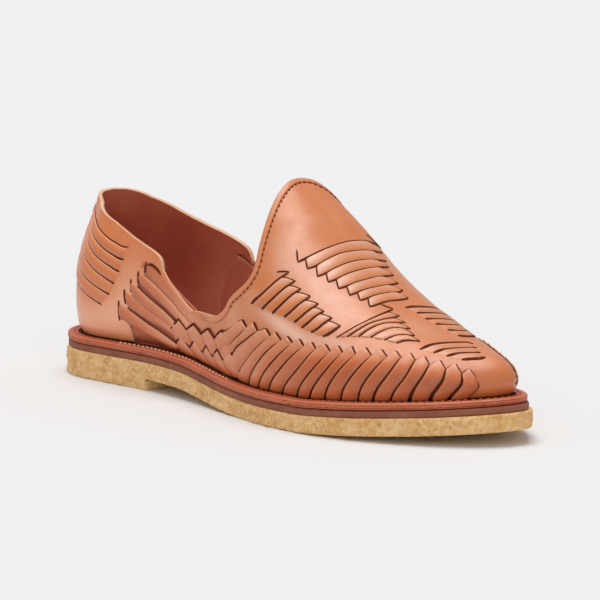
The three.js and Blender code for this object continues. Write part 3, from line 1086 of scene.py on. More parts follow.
@dataclass(frozen=True)
class Family:
    """Slits cut side by side in the vamp, as vamp chart spots, and the strips between them.

    Where the strips end in steps, each slit's last spot but one is where the next step's short tick leaves
    it, and the tick ends at the next slit's last spot; the same holds at the start.
    """

    slits: Sequence[Spots]
    widths: Spots
    gap: float
    tone: Spots
    extra: Sequence[Spots] = ()
    step_finish: bool = False
    step_start: bool = False
    both: bool = False
    height: float = 0.35
    crown: float = 0.35
    tick: Spots = ((0, 0.15), (0.3, 0.42), (0.8, 0.38), (1, 0.12))
    tick_lift: float = 0.05

    def lay(self, maker: StripMaker) -> None:
        """Lays the strips and their slits, on both sides of the ridge where they are alike."""
        for flip in (1, -1) if self.both else (1,):
            runs = [tuple((share, flip * across) for share, across in slit) for slit in self.slits]
            for tick in self.extra:
                maker.cut(tuple((share, flip * across) for share, across in tick), self.tick, self.tick_lift)
            maker.cut(runs[0], self.widths)
            for before, run in zip(runs, runs[1:]):
                maker.cut(run, self.widths)
                if self.step_finish:
                    maker.cut((before[-2], run[-1]), self.tick, self.tick_lift)
                if self.step_start:
                    maker.cut((before[1], run[0]), self.tick, self.tick_lift)
                left = before[int(self.step_start):len(before) - int(self.step_finish)]
                gaps = ((0, self.gap), (0.5, self.gap * 0.8), (1, self.gap * 0.6))
                # the tone and the side shades paint highlight and shade on the strips, with some of the
                # leather's own tone
                maker.lay(Strip(
                    left, run, gap_left=gaps, gap_right=tuple((at, gap * 0.7) for at, gap in gaps),
                    end_gap=0.3, height=self.height, crown=self.crown, start_dive=0.35, finish_dive=0.35,
                    tone=self.tone, left_shade=0.25, right_shade=-0.45,
                ), hollow=False)


@dataclass
class Weave:
    """The families of strips cut and woven into the vamp."""

    palette: Palette
    # share of a side strip's foot past which its middle gets painted shade
    shaded_from: float = 0.6
    # the side slits from the throat to the toe, as (share, climb)
    side_slits: Sequence[Slit] = (
        Slit(
            ((0.468, 0.074), (0.491, 0.112), (0.517, 0.146), (0.541, 0.181)), (0.530, 0.190), 0.5, 0.75, 0.5,
        ),
        Slit(((0.492, 0.050), (0.530, 0.110), (0.572, 0.184)), (0.556, 0.201), 0.2, 0.2),
        Slit(((0.512, 0.030), (0.545, 0.103), (0.574, 0.146), (0.606, 0.200)), (0.591, 0.222)),
        Slit(((0.538, 0.005), (0.590, 0.105), (0.643, 0.212)), (0.628, 0.232), 0.2, 0.2),
        Slit(((0.574, 0.0), (0.617, 0.100), (0.668, 0.226)), (0.652, 0.246)),
        Slit(((0.606, 0.0), (0.649, 0.110), (0.694, 0.244)), (0.680, 0.265)),
        Slit(((0.636, 0.0), (0.677, 0.120), (0.719, 0.262)), (0.706, 0.288)),
        Slit(((0.670, 0.0), (0.713, 0.135), (0.743, 0.281)), (0.732, 0.311)),
        Slit(((0.706, 0.0), (0.740, 0.140), (0.770, 0.301)), (0.756, 0.338)),
        Slit(((0.734, 0.0), (0.764, 0.147), (0.791, 0.324)), (0.778, 0.365)),
        Slit(((0.764, 0.0), (0.788, 0.167), (0.813, 0.344)), (0.799, 0.402)),
        Slit(((0.793, 0.0), (0.818, 0.197), (0.837, 0.375)), (0.820, 0.435)),
        Slit(((0.823, 0.0), (0.844, 0.221), (0.860, 0.401)), (0.844, 0.462)),
        Slit(((0.846, 0.0), (0.870, 0.244), (0.879, 0.431)), (0.864, 0.492), 0.6, 0.5),
        Slit(((0.872, 0.0), (0.895, 0.241), (0.900, 0.441)), (0.886, 0.512), 0.4, 0.4),
        Slit(((0.900, 0.0), (0.918, 0.262), (0.922, 0.420)), (0.908, 0.520), 0.75, 0.6),
        Slit(((0.927, 0.0), (0.944, 0.234), (0.945, 0.390)), (0.932, 0.515), 0.85, 0.8),
        Slit(((0.950, 0.0), (0.966, 0.211), (0.965, 0.346)), (0.954, 0.500), 0.85, 0.75),
        Slit(((0.972, 0.0), (0.983, 0.171), (0.979, 0.318)), (0.972, 0.440), 0.4, 0.4),
    )
    # short slits of the toe's medial front, as vamp chart spots
    toe_slits: Sequence[Spots] = (
        ((0.982, 0.80), (0.996, 0.83)), ((0.978, 0.70), (0.994, 0.73)), ((0.974, 0.60), (0.990, 0.62)),
    )
    families: Sequence[Family] = (
        # the steps beside the tongue
        Family((
            ((0.572, -0.723), (0.594, -0.666), (0.614, -0.594), (0.628, -0.525), (0.637, -0.478)),
            ((0.605, -0.711), (0.621, -0.659), (0.635, -0.594), (0.647, -0.523), (0.655, -0.475)),
            ((0.634, -0.692), (0.647, -0.632), (0.658, -0.563), (0.665, -0.516), (0.671, -0.480)),
            ((0.661, -0.664), (0.671, -0.618), (0.680, -0.556), (0.687, -0.508), (0.692, -0.465)),
            ((0.684, -0.652), (0.694, -0.599), (0.701, -0.547), (0.707, -0.501), (0.711, -0.465)),
            ((0.702, -0.650), (0.711, -0.601), (0.718, -0.539), (0.722, -0.508), (0.727, -0.478)),
            ((0.723, -0.638), (0.731, -0.601), (0.738, -0.542), (0.741, -0.511), (0.745, -0.480)),
            ((0.746, -0.622), (0.753, -0.587), (0.758, -0.547), (0.761, -0.520), (0.764, -0.494)),
        ), ((0, 0.3), (0.08, 1.15), (0.3, 0.95), (0.7, 0.85), (0.9, 0.6), (1, 0.25)), gap=1.0,
            tone=((0, -0.1), (0.5, 0.15), (1, 0.5)), extra=(((0.614, -0.527), (0.638, -0.470)),),
            step_finish=True, both=True),
        # the strips that cross the ridge below the tongue
        Family((
            ((0.642, -0.394), (0.649, -0.338), (0.656, -0.253), (0.661, -0.141), (0.662, -0.041),
             (0.660, 0.060), (0.654, 0.196), (0.641, 0.365)),
            ((0.661, -0.370), (0.669, -0.308), (0.674, -0.191), (0.676, -0.093), (0.678, -0.002),
             (0.676, 0.095), (0.672, 0.177), (0.661, 0.300)),
            ((0.682, -0.348), (0.688, -0.284), (0.692, -0.179), (0.694, -0.079), (0.695, 0.012),
             (0.692, 0.130), (0.684, 0.250)),
            ((0.701, -0.315), (0.706, -0.258), (0.709, -0.160), (0.711, -0.060), (0.711, 0.020),
             (0.708, 0.100), (0.700, 0.210)),
            ((0.720, -0.294), (0.725, -0.236), (0.728, -0.153), (0.730, -0.069), (0.729, 0.050),
             (0.720, 0.179)),
            ((0.740, -0.270), (0.743, -0.210), (0.746, -0.124), (0.748, -0.053), (0.748, 0.031),
             (0.740, 0.146)),
            ((0.757, -0.246), (0.760, -0.184), (0.762, -0.100), (0.764, -0.029), (0.765, 0.040),
             (0.758, 0.118)),
            ((0.775, -0.236), (0.778, -0.180), (0.780, -0.085), (0.783, -0.010), (0.782, 0.040),
             (0.778, 0.090)),
        ), ((0, 0.35), (0.05, 0.62), (0.25, 0.5), (0.5, 0.38), (0.75, 0.6), (0.95, 0.75), (1, 0.25)),
            gap=0.46, tone=((0, 0.55), (0.35, 0.28), (0.55, 0.2), (0.8, 0.3), (1, 0.35)),
            extra=(((0.629, -0.351), (0.642, -0.394)), ((0.638, 0.230), (0.641, 0.365))),
            step_finish=True, step_start=True),
        # the second row, on the lateral side
        Family((
            ((0.768, -0.585), (0.777, -0.525), (0.785, -0.442), (0.792, -0.358), (0.797, -0.258),
             (0.799, -0.175), (0.799, -0.120)),
            ((0.784, -0.542), (0.791, -0.475), (0.797, -0.391), (0.804, -0.308), (0.810, -0.246),
             (0.815, -0.190), (0.817, -0.138)),
            ((0.800, -0.504), (0.805, -0.420), (0.811, -0.332), (0.820, -0.260), (0.829, -0.210),
             (0.835, -0.167)),
            ((0.817, -0.465), (0.823, -0.382), (0.829, -0.310), (0.837, -0.260), (0.845, -0.235),
             (0.852, -0.205)),
            ((0.838, -0.437), (0.844, -0.372), (0.852, -0.315), (0.860, -0.285), (0.869, -0.262)),
            ((0.857, -0.425), (0.862, -0.375), (0.870, -0.335), (0.884, -0.303)),
        ), ((0, 0.2), (0.1, 0.55), (0.6, 0.62), (0.9, 0.6), (1, 0.25)), gap=0.58,
            tone=((0, 0.5), (0.5, 0.35), (1, 0.3)), extra=(((0.781, -0.155), (0.799, -0.115)),),
            step_finish=True),
        # the row beyond the ridge, on the medial side
        Family((
            ((0.803, -0.026), (0.804, 0.060), (0.800, 0.172), (0.787, 0.341), (0.770, 0.560)),
            ((0.821, 0.000), (0.822, 0.093), (0.816, 0.200), (0.803, 0.350), (0.788, 0.520)),
            ((0.841, -0.002), (0.842, 0.084), (0.837, 0.190), (0.824, 0.330), (0.806, 0.485)),
            ((0.860, 0.017), (0.862, 0.110), (0.856, 0.220), (0.843, 0.330), (0.826, 0.455)),
            ((0.883, 0.041), (0.884, 0.129), (0.878, 0.230), (0.864, 0.330), (0.845, 0.435)),
            ((0.906, 0.057), (0.904, 0.155), (0.896, 0.250), (0.884, 0.330), (0.862, 0.420)),
        ), ((0, 0.3), (0.08, 1.2), (0.3, 1.1), (0.7, 1.0), (1, 0.4)), gap=1.0,
            tone=((0, 0.1), (1, 0.1)), height=0.2, crown=0.1),
        # the last strips, over the toe
        Family((
            ((0.894, -0.405), (0.901, -0.310), (0.911, -0.224), (0.924, -0.135), (0.938, -0.020),
             (0.946, 0.080)),
            ((0.916, -0.394), (0.923, -0.305), (0.934, -0.236), (0.952, -0.150), (0.966, -0.080),
             (0.974, 0.000)),
            ((0.937, -0.394), (0.946, -0.320), (0.960, -0.262), (0.975, -0.215), (0.985, -0.170)),
            ((0.960, -0.412), (0.971, -0.365), (0.983, -0.330), (0.991, -0.300)),
        ), ((0, 0.25), (0.12, 0.9), (0.6, 1.25), (0.85, 1.2), (1, 0.4)), gap=1.15,
            tone=((0, 0.2), (1, 0.05)), height=0.2, crown=0.1),
    )

    def build(self) -> list[bpy.types.Object]:
        """Builds every family on both sides, and their hollows."""
        maker = StripMaker(Chart.VAMP)
        for side in Side:
            for strip in self.side_strips(side):
                maker.lay(strip)
            for before, after in zip(self.side_slits, self.side_slits[1:]):
                corner, tip, end = both_sides((before.run[-1], after.peak, after.run[-1]), side)
                for tick in ((corner, tip), (tip, end)):
                    maker.cut(tick, ((0, 0.5), (0.5, 0.72), (1, 0.4)), 0.12)
        side_woven = maker.finish_strips("side_strips", self.palette.strap, 0.9)
        for family in self.families:
            family.lay(maker)
        for run in self.toe_slits:
            maker.cut(run, ((0, 0.2), (0.5, 0.45), (1, 0.2)))
        vamp_woven = maker.finish_strips("vamp_strips", self.palette.sheet, 0.7)
        return [side_woven, vamp_woven, maker.finish_hollows("slit_hollows", self.palette.hollow)]

    def side_strips(self, side: Side) -> list[Strip]:
        """Returns the strips that rise from the welt to chevron points."""
        strips = []
        for before, after in zip(self.side_slits, self.side_slits[1:]):
            tip = both_sides([after.peak], side)[0]
            left, right = both_sides(before.run, side), both_sides(after.run, side)
            foot = before.run[0][0]
            deep = float(np.interp(foot, (0.6, 0.92), (0.5, 1.6)))
            # pale tips are painted highlight, partly the leather's own tone; past shaded_from the middles
            # get painted shade, deeper towards the toe; the side shades paint a highlight on one side and
            # shade on the other
            tone = ((0, 0.15), (0.6, 0.12), (0.86, 0.4), (1, 0.5))
            if foot > self.shaded_from:
                shaded = ((0.25, -0.25 * deep), (0.55, -0.35 * deep))
                tone = ((0, -0.10), *shaded, (0.72, -0.1), (0.86, 0.45), (1, 0.55))
            gap_left, gap_right = (
                ((0, slit.foot_gap), (0.45, slit.middle_gap), (0.85, slit.top_gap), (1, 0.2))
                for slit in (before, after)
            )
            strips.append(Strip(
                left, right, finish_tip=tip, finish_at=0.42, gap_left=gap_left, gap_right=gap_right,
                end_gap=0.1, height=0.8 if side is Side.LATERAL else 0.5, crown=0.35, finish_dive=-0.15,
                tone=tone, left_shade=0.3, right_shade=-0.5,
            ))
        return strips


@dataclass
class Braid:
    """The plait at the foot of the throat, where quarter straps and side strips cross."""

    palette: Palette
    # for each row of tabs: mm along the foot line and height of the feet between them, of their peaks, how
    # far their bodies slide down and forward, and how far the row stands out
    rows: Sequence[tuple[Spots, Spots, Spot, float]] = (
        (((91.5, 7.0), (104.9, 9.3), (118.6, 11.8), (131.0, 14.4), (144.0, 19.4)),
         ((98.5, 12.0), (111.8, 13.7), (125.4, 16.6), (138.0, 21.4)), (6.5, -8.0), 0.05),
        (((94.9, 2.6), (107.4, 3.1), (120.0, 4.4), (129.5, 5.6), (139.4, 7.6), (151.6, 10.6)),
         ((100.1, 5.3), (112.6, 7.0), (124.0, 8.6), (134.6, 10.8), (147.0, 14.8)), (4.0, -8.0), 0.35),
    )
    # how far above the tabs' edges, and how much further out than the tabs, their dark outlines of painted
    # shade lie, in mm
    zig_rise: float = 0.6
    zig_lift: float = 0.45
    # mm along the foot line to one share, the power of the vamp's ribs and the height they reach, in mm
    foot_line: float = 280.0
    rib_power: float = 2 / 2.35
    rib_height: float = 92.0
    lowest: float = 0.3

    def spot(self, along: float, height: float, side: Side) -> Spot:
        """Returns the vamp chart spot at mm along the foot line and mm above it."""
        part = min(1.0, max(0.0001, height) / self.rib_height)
        climb = 2 / math.pi * math.asin(part ** (1 / self.rib_power))
        return both_sides([(along / self.foot_line, climb)], side)[0]

    def build(self) -> list[bpy.types.Object]:
        """Builds the tabs on both sides."""
        maker = StripMaker(Chart.VAMP)
        for side in Side:
            for feet, peaks, slide, lift in self.rows:
                lows = [(along + slide[0], max(self.lowest, height + slide[1])) for along, height in feet]
                tracks = [(self.spot(*foot, side), self.spot(*low, side)) for foot, low in zip(feet, lows)]
                for left, right, peak, foot, after in zip(tracks, tracks[1:], peaks, feet, feet[1:]):
                    tip_at = (peak[0] - foot[0]) / (after[0] - foot[0])
                    # tone: painted highlight at the tabs' points and painted shade where they dive under;
                    # the side shades are painted shade too
                    maker.lay(Strip(
                        left, right, start_tip=self.spot(*peak, side), start_at=tip_at,
                        gap_left=((0, 0.1), (1, 0.1)), gap_right=((0, 0.1), (1, 0.1)), end_gap=0.1,
                        height=0.55, crown=0.35, finish_dive=0.3, tone=((0, 0.45), (0.5, 0.15), (1, -0.2)),
                        left_shade=-0.3, right_shade=-0.1,
                    ), lift=lift)
                    for zig in ((foot, peak), (peak, after)):
                        ends = [self.spot(along, height + self.zig_rise, side) for along, height in zig]
                        maker.cut(ends, ((0, 0.45), (0.5, 0.6), (1, 0.45)), lift + self.zig_lift)
        cells = maker.finish_strips("throat_braid", self.palette.strap, 0.9)
        return [cells, maker.finish_hollows("braid_hollows", self.palette.hollow)]


@dataclass
class QuarterStraps:
    """The five straps each side that run from the ear down to the plait."""

    palette: Palette
    # x and height of each strap's upper and lower edges, seen from the side
    straps: Sequence[tuple[Spots, Spots]] = (
        (((76, 63.0), (80.3, 62.8), (84.2, 61.4), (89.0, 57.8), (95.8, 52.2), (101, 48.9),
          (106.2, 45.7), (111.4, 43.1), (117, 40.9), (122, 38.8), (128, 35.5)),
         ((70.2, 54.6), (74.3, 53.4), (79.6, 51.4), (84.4, 49.2), (87.7, 47.6), (91.7, 45.8),
          (97.7, 42.7), (103, 39.5), (107.8, 36.6), (113, 34.0), (119, 30.6))),
        (((70.2, 54.8), (74.3, 53.6), (79.6, 51.6), (84.4, 49.4), (87.7, 47.8), (91.7, 46.0),
          (97.7, 43.1), (103, 40.1), (107.8, 37.4), (113, 34.8), (118, 31.8)),
         ((71.0, 49.8), (74.2, 48.2), (80.3, 45.3), (84, 43.4), (88.1, 41.7), (92.9, 39.6),
          (97.7, 37.3), (102.6, 35.0), (106.6, 32.9), (110.8, 30.4), (115, 27.8))),
        (((65.8, 50.2), (70.5, 47.7), (74.2, 45.5), (80.3, 42.6), (87.7, 39.7), (94.5, 37.0), (100.2, 34.2),
          (104.2, 31.4), (108.2, 28.9), (113, 26.2)),
         ((66.0, 45.2), (69.2, 42.0), (73.0, 39.7), (78, 37.3), (83.6, 35.4), (91, 33.4), (97, 31.4),
          (101.5, 29.4), (106, 27.3), (110, 25.2))),
        (((61.4, 45.0), (66, 43.4), (71.2, 41.0), (77, 38.5), (83.6, 36.4), (91, 34.4), (97, 32.4),
          (101.5, 30.4), (106, 28.3), (110, 26.2)),
         ((62.2, 38.4), (66.1, 36.2), (71, 34.5), (75.9, 32.9), (80.9, 31.4), (87.4, 30.2),
          (93.8, 28.8), (99, 26.9), (103, 25.0), (107, 23.2))),
        (((57.6, 38.8), (62.5, 36.9), (66.1, 35.3), (71, 33.4), (75.9, 31.4), (80.9, 29.7), (87, 28.0),
          (92.2, 26.4), (96.7, 24.9), (103, 23.0)),
         ((57.6, 30.6), (61.9, 30.0), (64.8, 28.8), (70.4, 27.2), (75.4, 25.7), (80.3, 24.2),
          (85.6, 23.0), (89.3, 22.2), (94, 21.2), (99, 20.3))),
    )
    # how far each strap stands out, in mm
    lifts: Sequence[float] = (-1.0, -0.55, -0.30, -0.55, -0.25)
    slit_lift: float = 0.28
    # how far the lining stands out, and the x it begins and ends at, in mm
    lining_lift: float = -1.6
    lining_reach: Spot = (56, 125)
    lining_rows: int = 31
    lining_columns: int = 15
    # x and height of the slits the straps come out of, and of the line where the ear covers the first
    slits: Sequence[Spots] = (
        ((76.3, 59.6), (76.0, 54.6)), ((71.2, 55.0), (71.8, 48.6)), ((66.2, 50.6), (66.8, 44.4)),
        ((61.6, 45.4), (62.5, 38.4)), ((57.6, 39.6), (57.6, 30.0)), ((77.4, 58.4), (79.6, 58.9),
                                                                     (84.2, 57.6), (88.2, 55.2)),
    )

    def lining(self) -> bpy.types.Object:
        """Builds the lining behind the straps, from the ears to the vamp."""
        maker = MeshMaker()
        top = Fit(((56, 62), (76.4, 59.0), (90.8, 53.8), (106.6, 46.2), (117, 42.0), (127, 37.6)), 1)
        for side in Side:
            uppers = Track([
                FORM.seen_from_side(x, float(top(np.array(x))), side)
                for x in np.linspace(*self.lining_reach, 12)
            ])

            def place(i: Array, j: Array) -> Corners:
                high = uppers(i / (self.lining_rows - 1))
                climb = high[:, 1] * j / (self.lining_columns - 1)
                spots = np.array(both_sides(np.stack([high[:, 0], climb], 1), side))
                lift = np.full(len(i), self.lining_lift)
                points = FORM.lifted(Chart.VAMP, spots[:, 0], spots[:, 1], lift)
                tone = np.full(len(i), 0.35)
                return points, tone, np.zeros(len(i)), np.stack([i * 2.4, j * 2.5], -1)

            outward = np.array([0.0, float(side.value), 0.0])
            maker.grid(self.lining_rows, self.lining_columns, place, outward)
        return maker.finish("quarter_lining", [self.palette.lining], "lining_leather", 0.25)

    def build(self) -> list[bpy.types.Object]:
        """Builds the straps of both sides and their lining."""
        maker = StripMaker(Chart.VAMP)
        flush = ((0, 0.0), (1, 0.0))
        for side in Side:
            for lift, (upper, lower) in zip(self.lifts, self.straps):
                left, right = FORM.wall_line(upper, side), FORM.wall_line(lower, side)
                # tone and the side shades: painted highlight along each strap's upper edge and towards its
                # front, painted shade along its lower edge
                maker.lay(Strip(
                    left, right, gap_left=flush, gap_right=flush, end_gap=0, height=0.55, crown=0.55,
                    start_dive=0.35 if lift > -1 else 0.0, finish_dive=0.5,
                    tone=((0, -0.10), (0.4, 0.05), (0.8, 0.35), (1, 0.25)),
                    left_shade=0.7, right_shade=-0.95,
                ), hollow=False, lift=lift)
            for slit in self.slits:
                widths = ((0, 0.25), (0.15, 0.6), (0.8, 0.6), (1, 0.2))
                maker.cut(FORM.wall_line(slit, side), widths, self.slit_lift)
        straps = maker.finish_strips("quarter_straps", self.palette.strap, 0.9)
        return [straps, maker.finish_hollows("quarter_slits", self.palette.hollow), self.lining()]


@dataclass
class CounterStraps:
    """The straps that wrap the back of the heel between the two ears."""

    palette: Palette
    lift: float = 0.1
    # share and climb of each slit at the ear, on the quarter and at the back
    slits: Sequence[Spots] = (
        ((0.196, 0.266), (0.150, 0.310), (0.090, 0.360), (0.035, 0.385), (0.010, 0.365), (0.0, 0.352)),
        ((0.190, 0.232), (0.150, 0.272), (0.090, 0.325), (0.035, 0.355), (0.010, 0.338), (0.0, 0.326)),
        ((0.184, 0.200), (0.140, 0.245), (0.085, 0.293), (0.035, 0.323), (0.010, 0.308), (0.0, 0.297)),
        ((0.174, 0.168), (0.130, 0.213), (0.080, 0.256), (0.035, 0.285), (0.010, 0.273), (0.0, 0.264)),
        ((0.162, 0.140), (0.120, 0.178), (0.075, 0.212), (0.035, 0.238), (0.010, 0.229), (0.0, 0.222)),
        ((0.140, 0.114), (0.110, 0.140), (0.070, 0.168), (0.035, 0.188), (0.010, 0.182), (0.0, 0.178)),
    )

    def build(self) -> list[bpy.types.Object]:
        """Builds the straps and the slits between them."""
        maker = StripMaker(Chart.HEEL)
        runs = [
            tuple((-s, c) for s, c in slit) + tuple((s, c) for s, c in reversed(slit[:-1]))
            for slit in self.slits
        ]
        gaps = ((0, 0.45), (0.15, 0.28), (0.5, 0.14), (0.85, 0.28), (1, 0.45))
        for i, run in enumerate(runs):
            deep = 0.68 if 0 < i < 5 else 0.4
            start = ((0, 0.12), (0.02, deep), (0.06, deep * 0.75), (0.12, 0.30), (0.3, 0.24))
            finish = ((0.7, 0.24), (0.88, 0.30), (0.94, deep * 0.75), (0.98, deep), (1, 0.12))
            maker.cut(run, (*start, (0.5, 0.2), *finish), self.lift)
            if not i:
                continue
            # tone and the side shades: painted highlight and painted shade along each strap and its edges
            maker.lay(Strip(
                runs[i - 1], run, gap_left=gaps, gap_right=gaps, end_gap=0.0, height=0.3, crown=0.40,
                start_dive=0.8, finish_dive=0.8, tone=((0, 0.0), (0.2, -0.1), (0.5, 0.15), (0.8, -0.1),
                                                       (1, 0.0)),
                left_shade=0.45, right_shade=-0.45,
            ), hollow=False, lift=self.lift)
        straps = maker.finish_strips("counter_straps", self.palette.counter, 0.8)
        return [straps, maker.finish_hollows("counter_hollows", self.palette.hollow)]


# ---------------------------------------------------------------- edges and stitches


@dataclass
class Stitching:
    """Rows of small stitches."""

    # all in mm; the spacing is from one stitch to the next
    radius: float
    length: float
    spacing: float

    def sew(
        self, name: str, points: Array, normals: Array, material: bpy.types.Material, slot: str
    ) -> bpy.types.Object:
        """Lays stitches along a line.

        Args:
            name: the piece's name.
            points: the line in mm.
            normals: the surface's direction at each point.
            material: the thread.
            slot: the material slot.

        Returns:
            The stitches as one object.
        """
        reach = np.concatenate([[0], np.cumsum(np.linalg.norm(np.diff(points, axis=0), axis=1))])
        mesh = MeshMaker()
        for at in np.arange(self.spacing / 2, reach[-1], self.spacing):
            here, ahead = (
                np.array([np.interp(at + d, reach, points[:, k]) for k in range(3)]) for d in (0.0, 0.2)
            )
            normal = np.array([np.interp(at, reach, normals[:, k]) for k in range(3)])
            along = Vector(ahead - here).normalized()
            up = Vector(normal).normalized()
            side = up.cross(along).normalized()
            turn = Matrix((along, side, along.cross(side))).transposed().to_4x4()
            size = Matrix.Diagonal((self.length / 2 * MM, self.radius * MM, self.radius * MM, 1.0))
            bmesh.ops.create_uvsphere(
                mesh.mesh, u_segments=6, v_segments=5, radius=1.0,
                matrix=Matrix.Translation(Vector(here) * MM) @ turn @ size,
            )
        return mesh.finish(name, [material], slot)


@dataclass
class ThroatRim:
    """The folded rim round the tongue, its bead and its row of stitches."""

    palette: Palette
    sheet: VampSheet
    width: float = 3.0
    overhang: float = 0.25
    sewn_above: float = 0.2
    # the rim's section: share of its width, and height in mm
    profile: Spots = (
        (0.0, -0.9), (0.02, -0.2), (0.08, 0.35), (0.22, 0.62), (0.45, 0.66), (0.7, 0.6), (0.88, 0.45),
        (0.97, 0.2), (1.0, -0.25),
    )

    def build(self) -> list[bpy.types.Object]:
        """Builds the rim, its bead and its stitches."""
        climbs = np.concatenate([np.linspace(0.115, 0.9, 60), np.linspace(0.9, 1.0, 14)[1:]])
        half = np.stack([self.sheet.edge_share(climbs), climbs - 1], -1)
        line = np.concatenate([half, (half[:-1] * [1, -1])[::-1]])
        inner = FORM.beside(Chart.VAMP, line, -self.width)
        outer = FORM.beside(Chart.VAMP, line, self.overhang)
        maker = MeshMaker()
        profile = np.array(self.profile)

        def place(i: Array, j: Array) -> Corners:
            part = profile[j, 0][:, None]
            spots = outer[i] * (1 - part) + inner[i] * part
            points = FORM.lifted(Chart.VAMP, spots[:, 0], spots[:, 1], profile[j, 1])
            # the outer edge's paler rim is partly the folded edge's own colour and partly painted highlight;
            # the inner side, where the rim meets the sheet, gets painted shade
            edge = np.clip(1 - profile[j, 0] / 0.2, 0, 1)
            tone = np.where(profile[j, 0] > 0.9, -0.5, 0.1)
            return points, tone, edge, np.stack([i * 2.0, profile[j, 0] * self.width], -1)

        maker.grid(len(line), len(profile), place, FORM.outward(Chart.VAMP, *line[len(line) // 2 - 2]))
        rim = maker.finish("throat_rim", [self.palette.sheet], "upper_leather", 0.5)
        spots = (inner + (inner - outer) * 0.06)[1 - np.abs(line[:, 1]) > self.sewn_above]
        points = FORM.lifted(Chart.VAMP, spots[:, 0], spots[:, 1], np.full(len(spots), 0.05))
        normals = FORM.outward(Chart.VAMP, spots[:, 0], spots[:, 1])
        stitching = Stitching(radius=0.34, length=1.7, spacing=2.9)
        thread = self.palette.thread
        return [rim, stitching.sew("throat_stitches", points, normals, thread, "upper_leather")]


# ---------------------------------------------------------------- the bottom


@dataclass
class SoleLayer:
    """One layer of the bottom: a closed slab that follows the sole's outline."""

    FLAT = 0.15  # how far from flat the surface has to be to be roughened

    name: str
    slot: str
    material: bpy.types.Material
    inset: float
    set_back: float
    bottom: Callable[[Array], Array]
    top: Callable[[Array], Array]
    round_over: float = 0.5
    rough: float = 0.0
    stations: int = 150
    wall_rows: int = 3
    front: float | None = None
    weld: float = 0.01

    def build(self) -> bpy.types.Object:
        """Builds the slab, rounded at its edges, cut off at its front where it has one."""
        turns = [t * math.pi / 2 for t in (0.35, 0.75, 1.0)]
        curve = [
            (self.inset + self.round_over * (1 - math.sin(turn)), self.round_over * (1 - math.cos(turn)))
            for turn in turns
        ]
        # inset in mm (none for the middle line), share of the slab's height, and mm above that
        rings = [(None, 0.0, 0.0), (self.inset + self.round_over, 0.0, 0.0)]
        rings += [(inset, 0.0, rise) for inset, rise in curve]
        rings += [(self.inset, k / (self.wall_rows + 1), 0.0) for k in range(1, self.wall_rows + 1)]
        rings += [(inset, 1.0, -rise) for inset, rise in reversed(curve)]
        rings += [(self.inset + self.round_over, 1.0, 0.0), (None, 1.0, 0.0)]
        half = self.stations
        maker = MeshMaker()

        def place(i: Array, j: Array) -> Corners:
            share = (1 - np.cos(np.pi * i / half)) / 2
            medial = i > half
            points = np.zeros((len(i), 3))
            edge = np.zeros(len(i))
            for ring, (inset, level, drop) in enumerate(rings):
                here = j == ring
                at = share[here]
                from_edge = self.inset + self.round_over if inset is None else inset
                x, lateral, inner = FORM.outline(at, from_edge, self.set_back)
                y = FORM.swing(at) if inset is None else np.where(medial[here], inner, lateral)
                low, high = self.bottom(x), self.top(x)
                points[here] = np.stack([x, y, low + (high - low) * level + drop], -1)
                edge[here] = 1.0 if inset is not None and drop < 0 else 0.0
            return points - ORIGIN, np.zeros(len(i)), edge, np.stack([share * UV_LENGTH, j], -1)

        maker.grid(2 * half + 1, len(rings), place)
        bmesh.ops.remove_doubles(maker.mesh, verts=maker.mesh.verts, dist=self.weld * MM)
        if self.front is not None:
            cut = bmesh.ops.bisect_plane(
                maker.mesh, geom=maker.mesh.verts[:] + maker.mesh.edges[:] + maker.mesh.faces[:],
                plane_co=((self.front - ORIGIN[0]) * MM, 0, 0), plane_no=(1, 0, 0), clear_outer=True,
            )
            edges = [part for part in cut["geom_cut"] if isinstance(part, bmesh.types.BMEdge)]
            bmesh.ops.holes_fill(maker.mesh, edges=edges)
        bmesh.ops.recalc_face_normals(maker.mesh, faces=maker.mesh.faces)
        if self.rough:
            self.roughen(maker.mesh)
        return maker.finish(self.name, [self.material], self.slot)

    def roughen(self, mesh: bmesh.types.BMesh) -> None:
        """Makes the slab's wall uneven, as cut crepe is."""
        mesh.normal_update()
        for vert in mesh.verts:
            flat = 1.0 - abs(vert.normal.z)
            if flat < self.FLAT:
                continue
            place = vert.co / MM
            wave = noise.noise(place * 0.22) * 0.9 + noise.noise(place * 0.75 + Vector((9, 4, 2))) * 0.7
            shift = vert.normal * (wave * self.rough * flat * MM)
            shift.z *= 0.6
            vert.co += shift
            vert.co.z = max(0.0, vert.co.z)


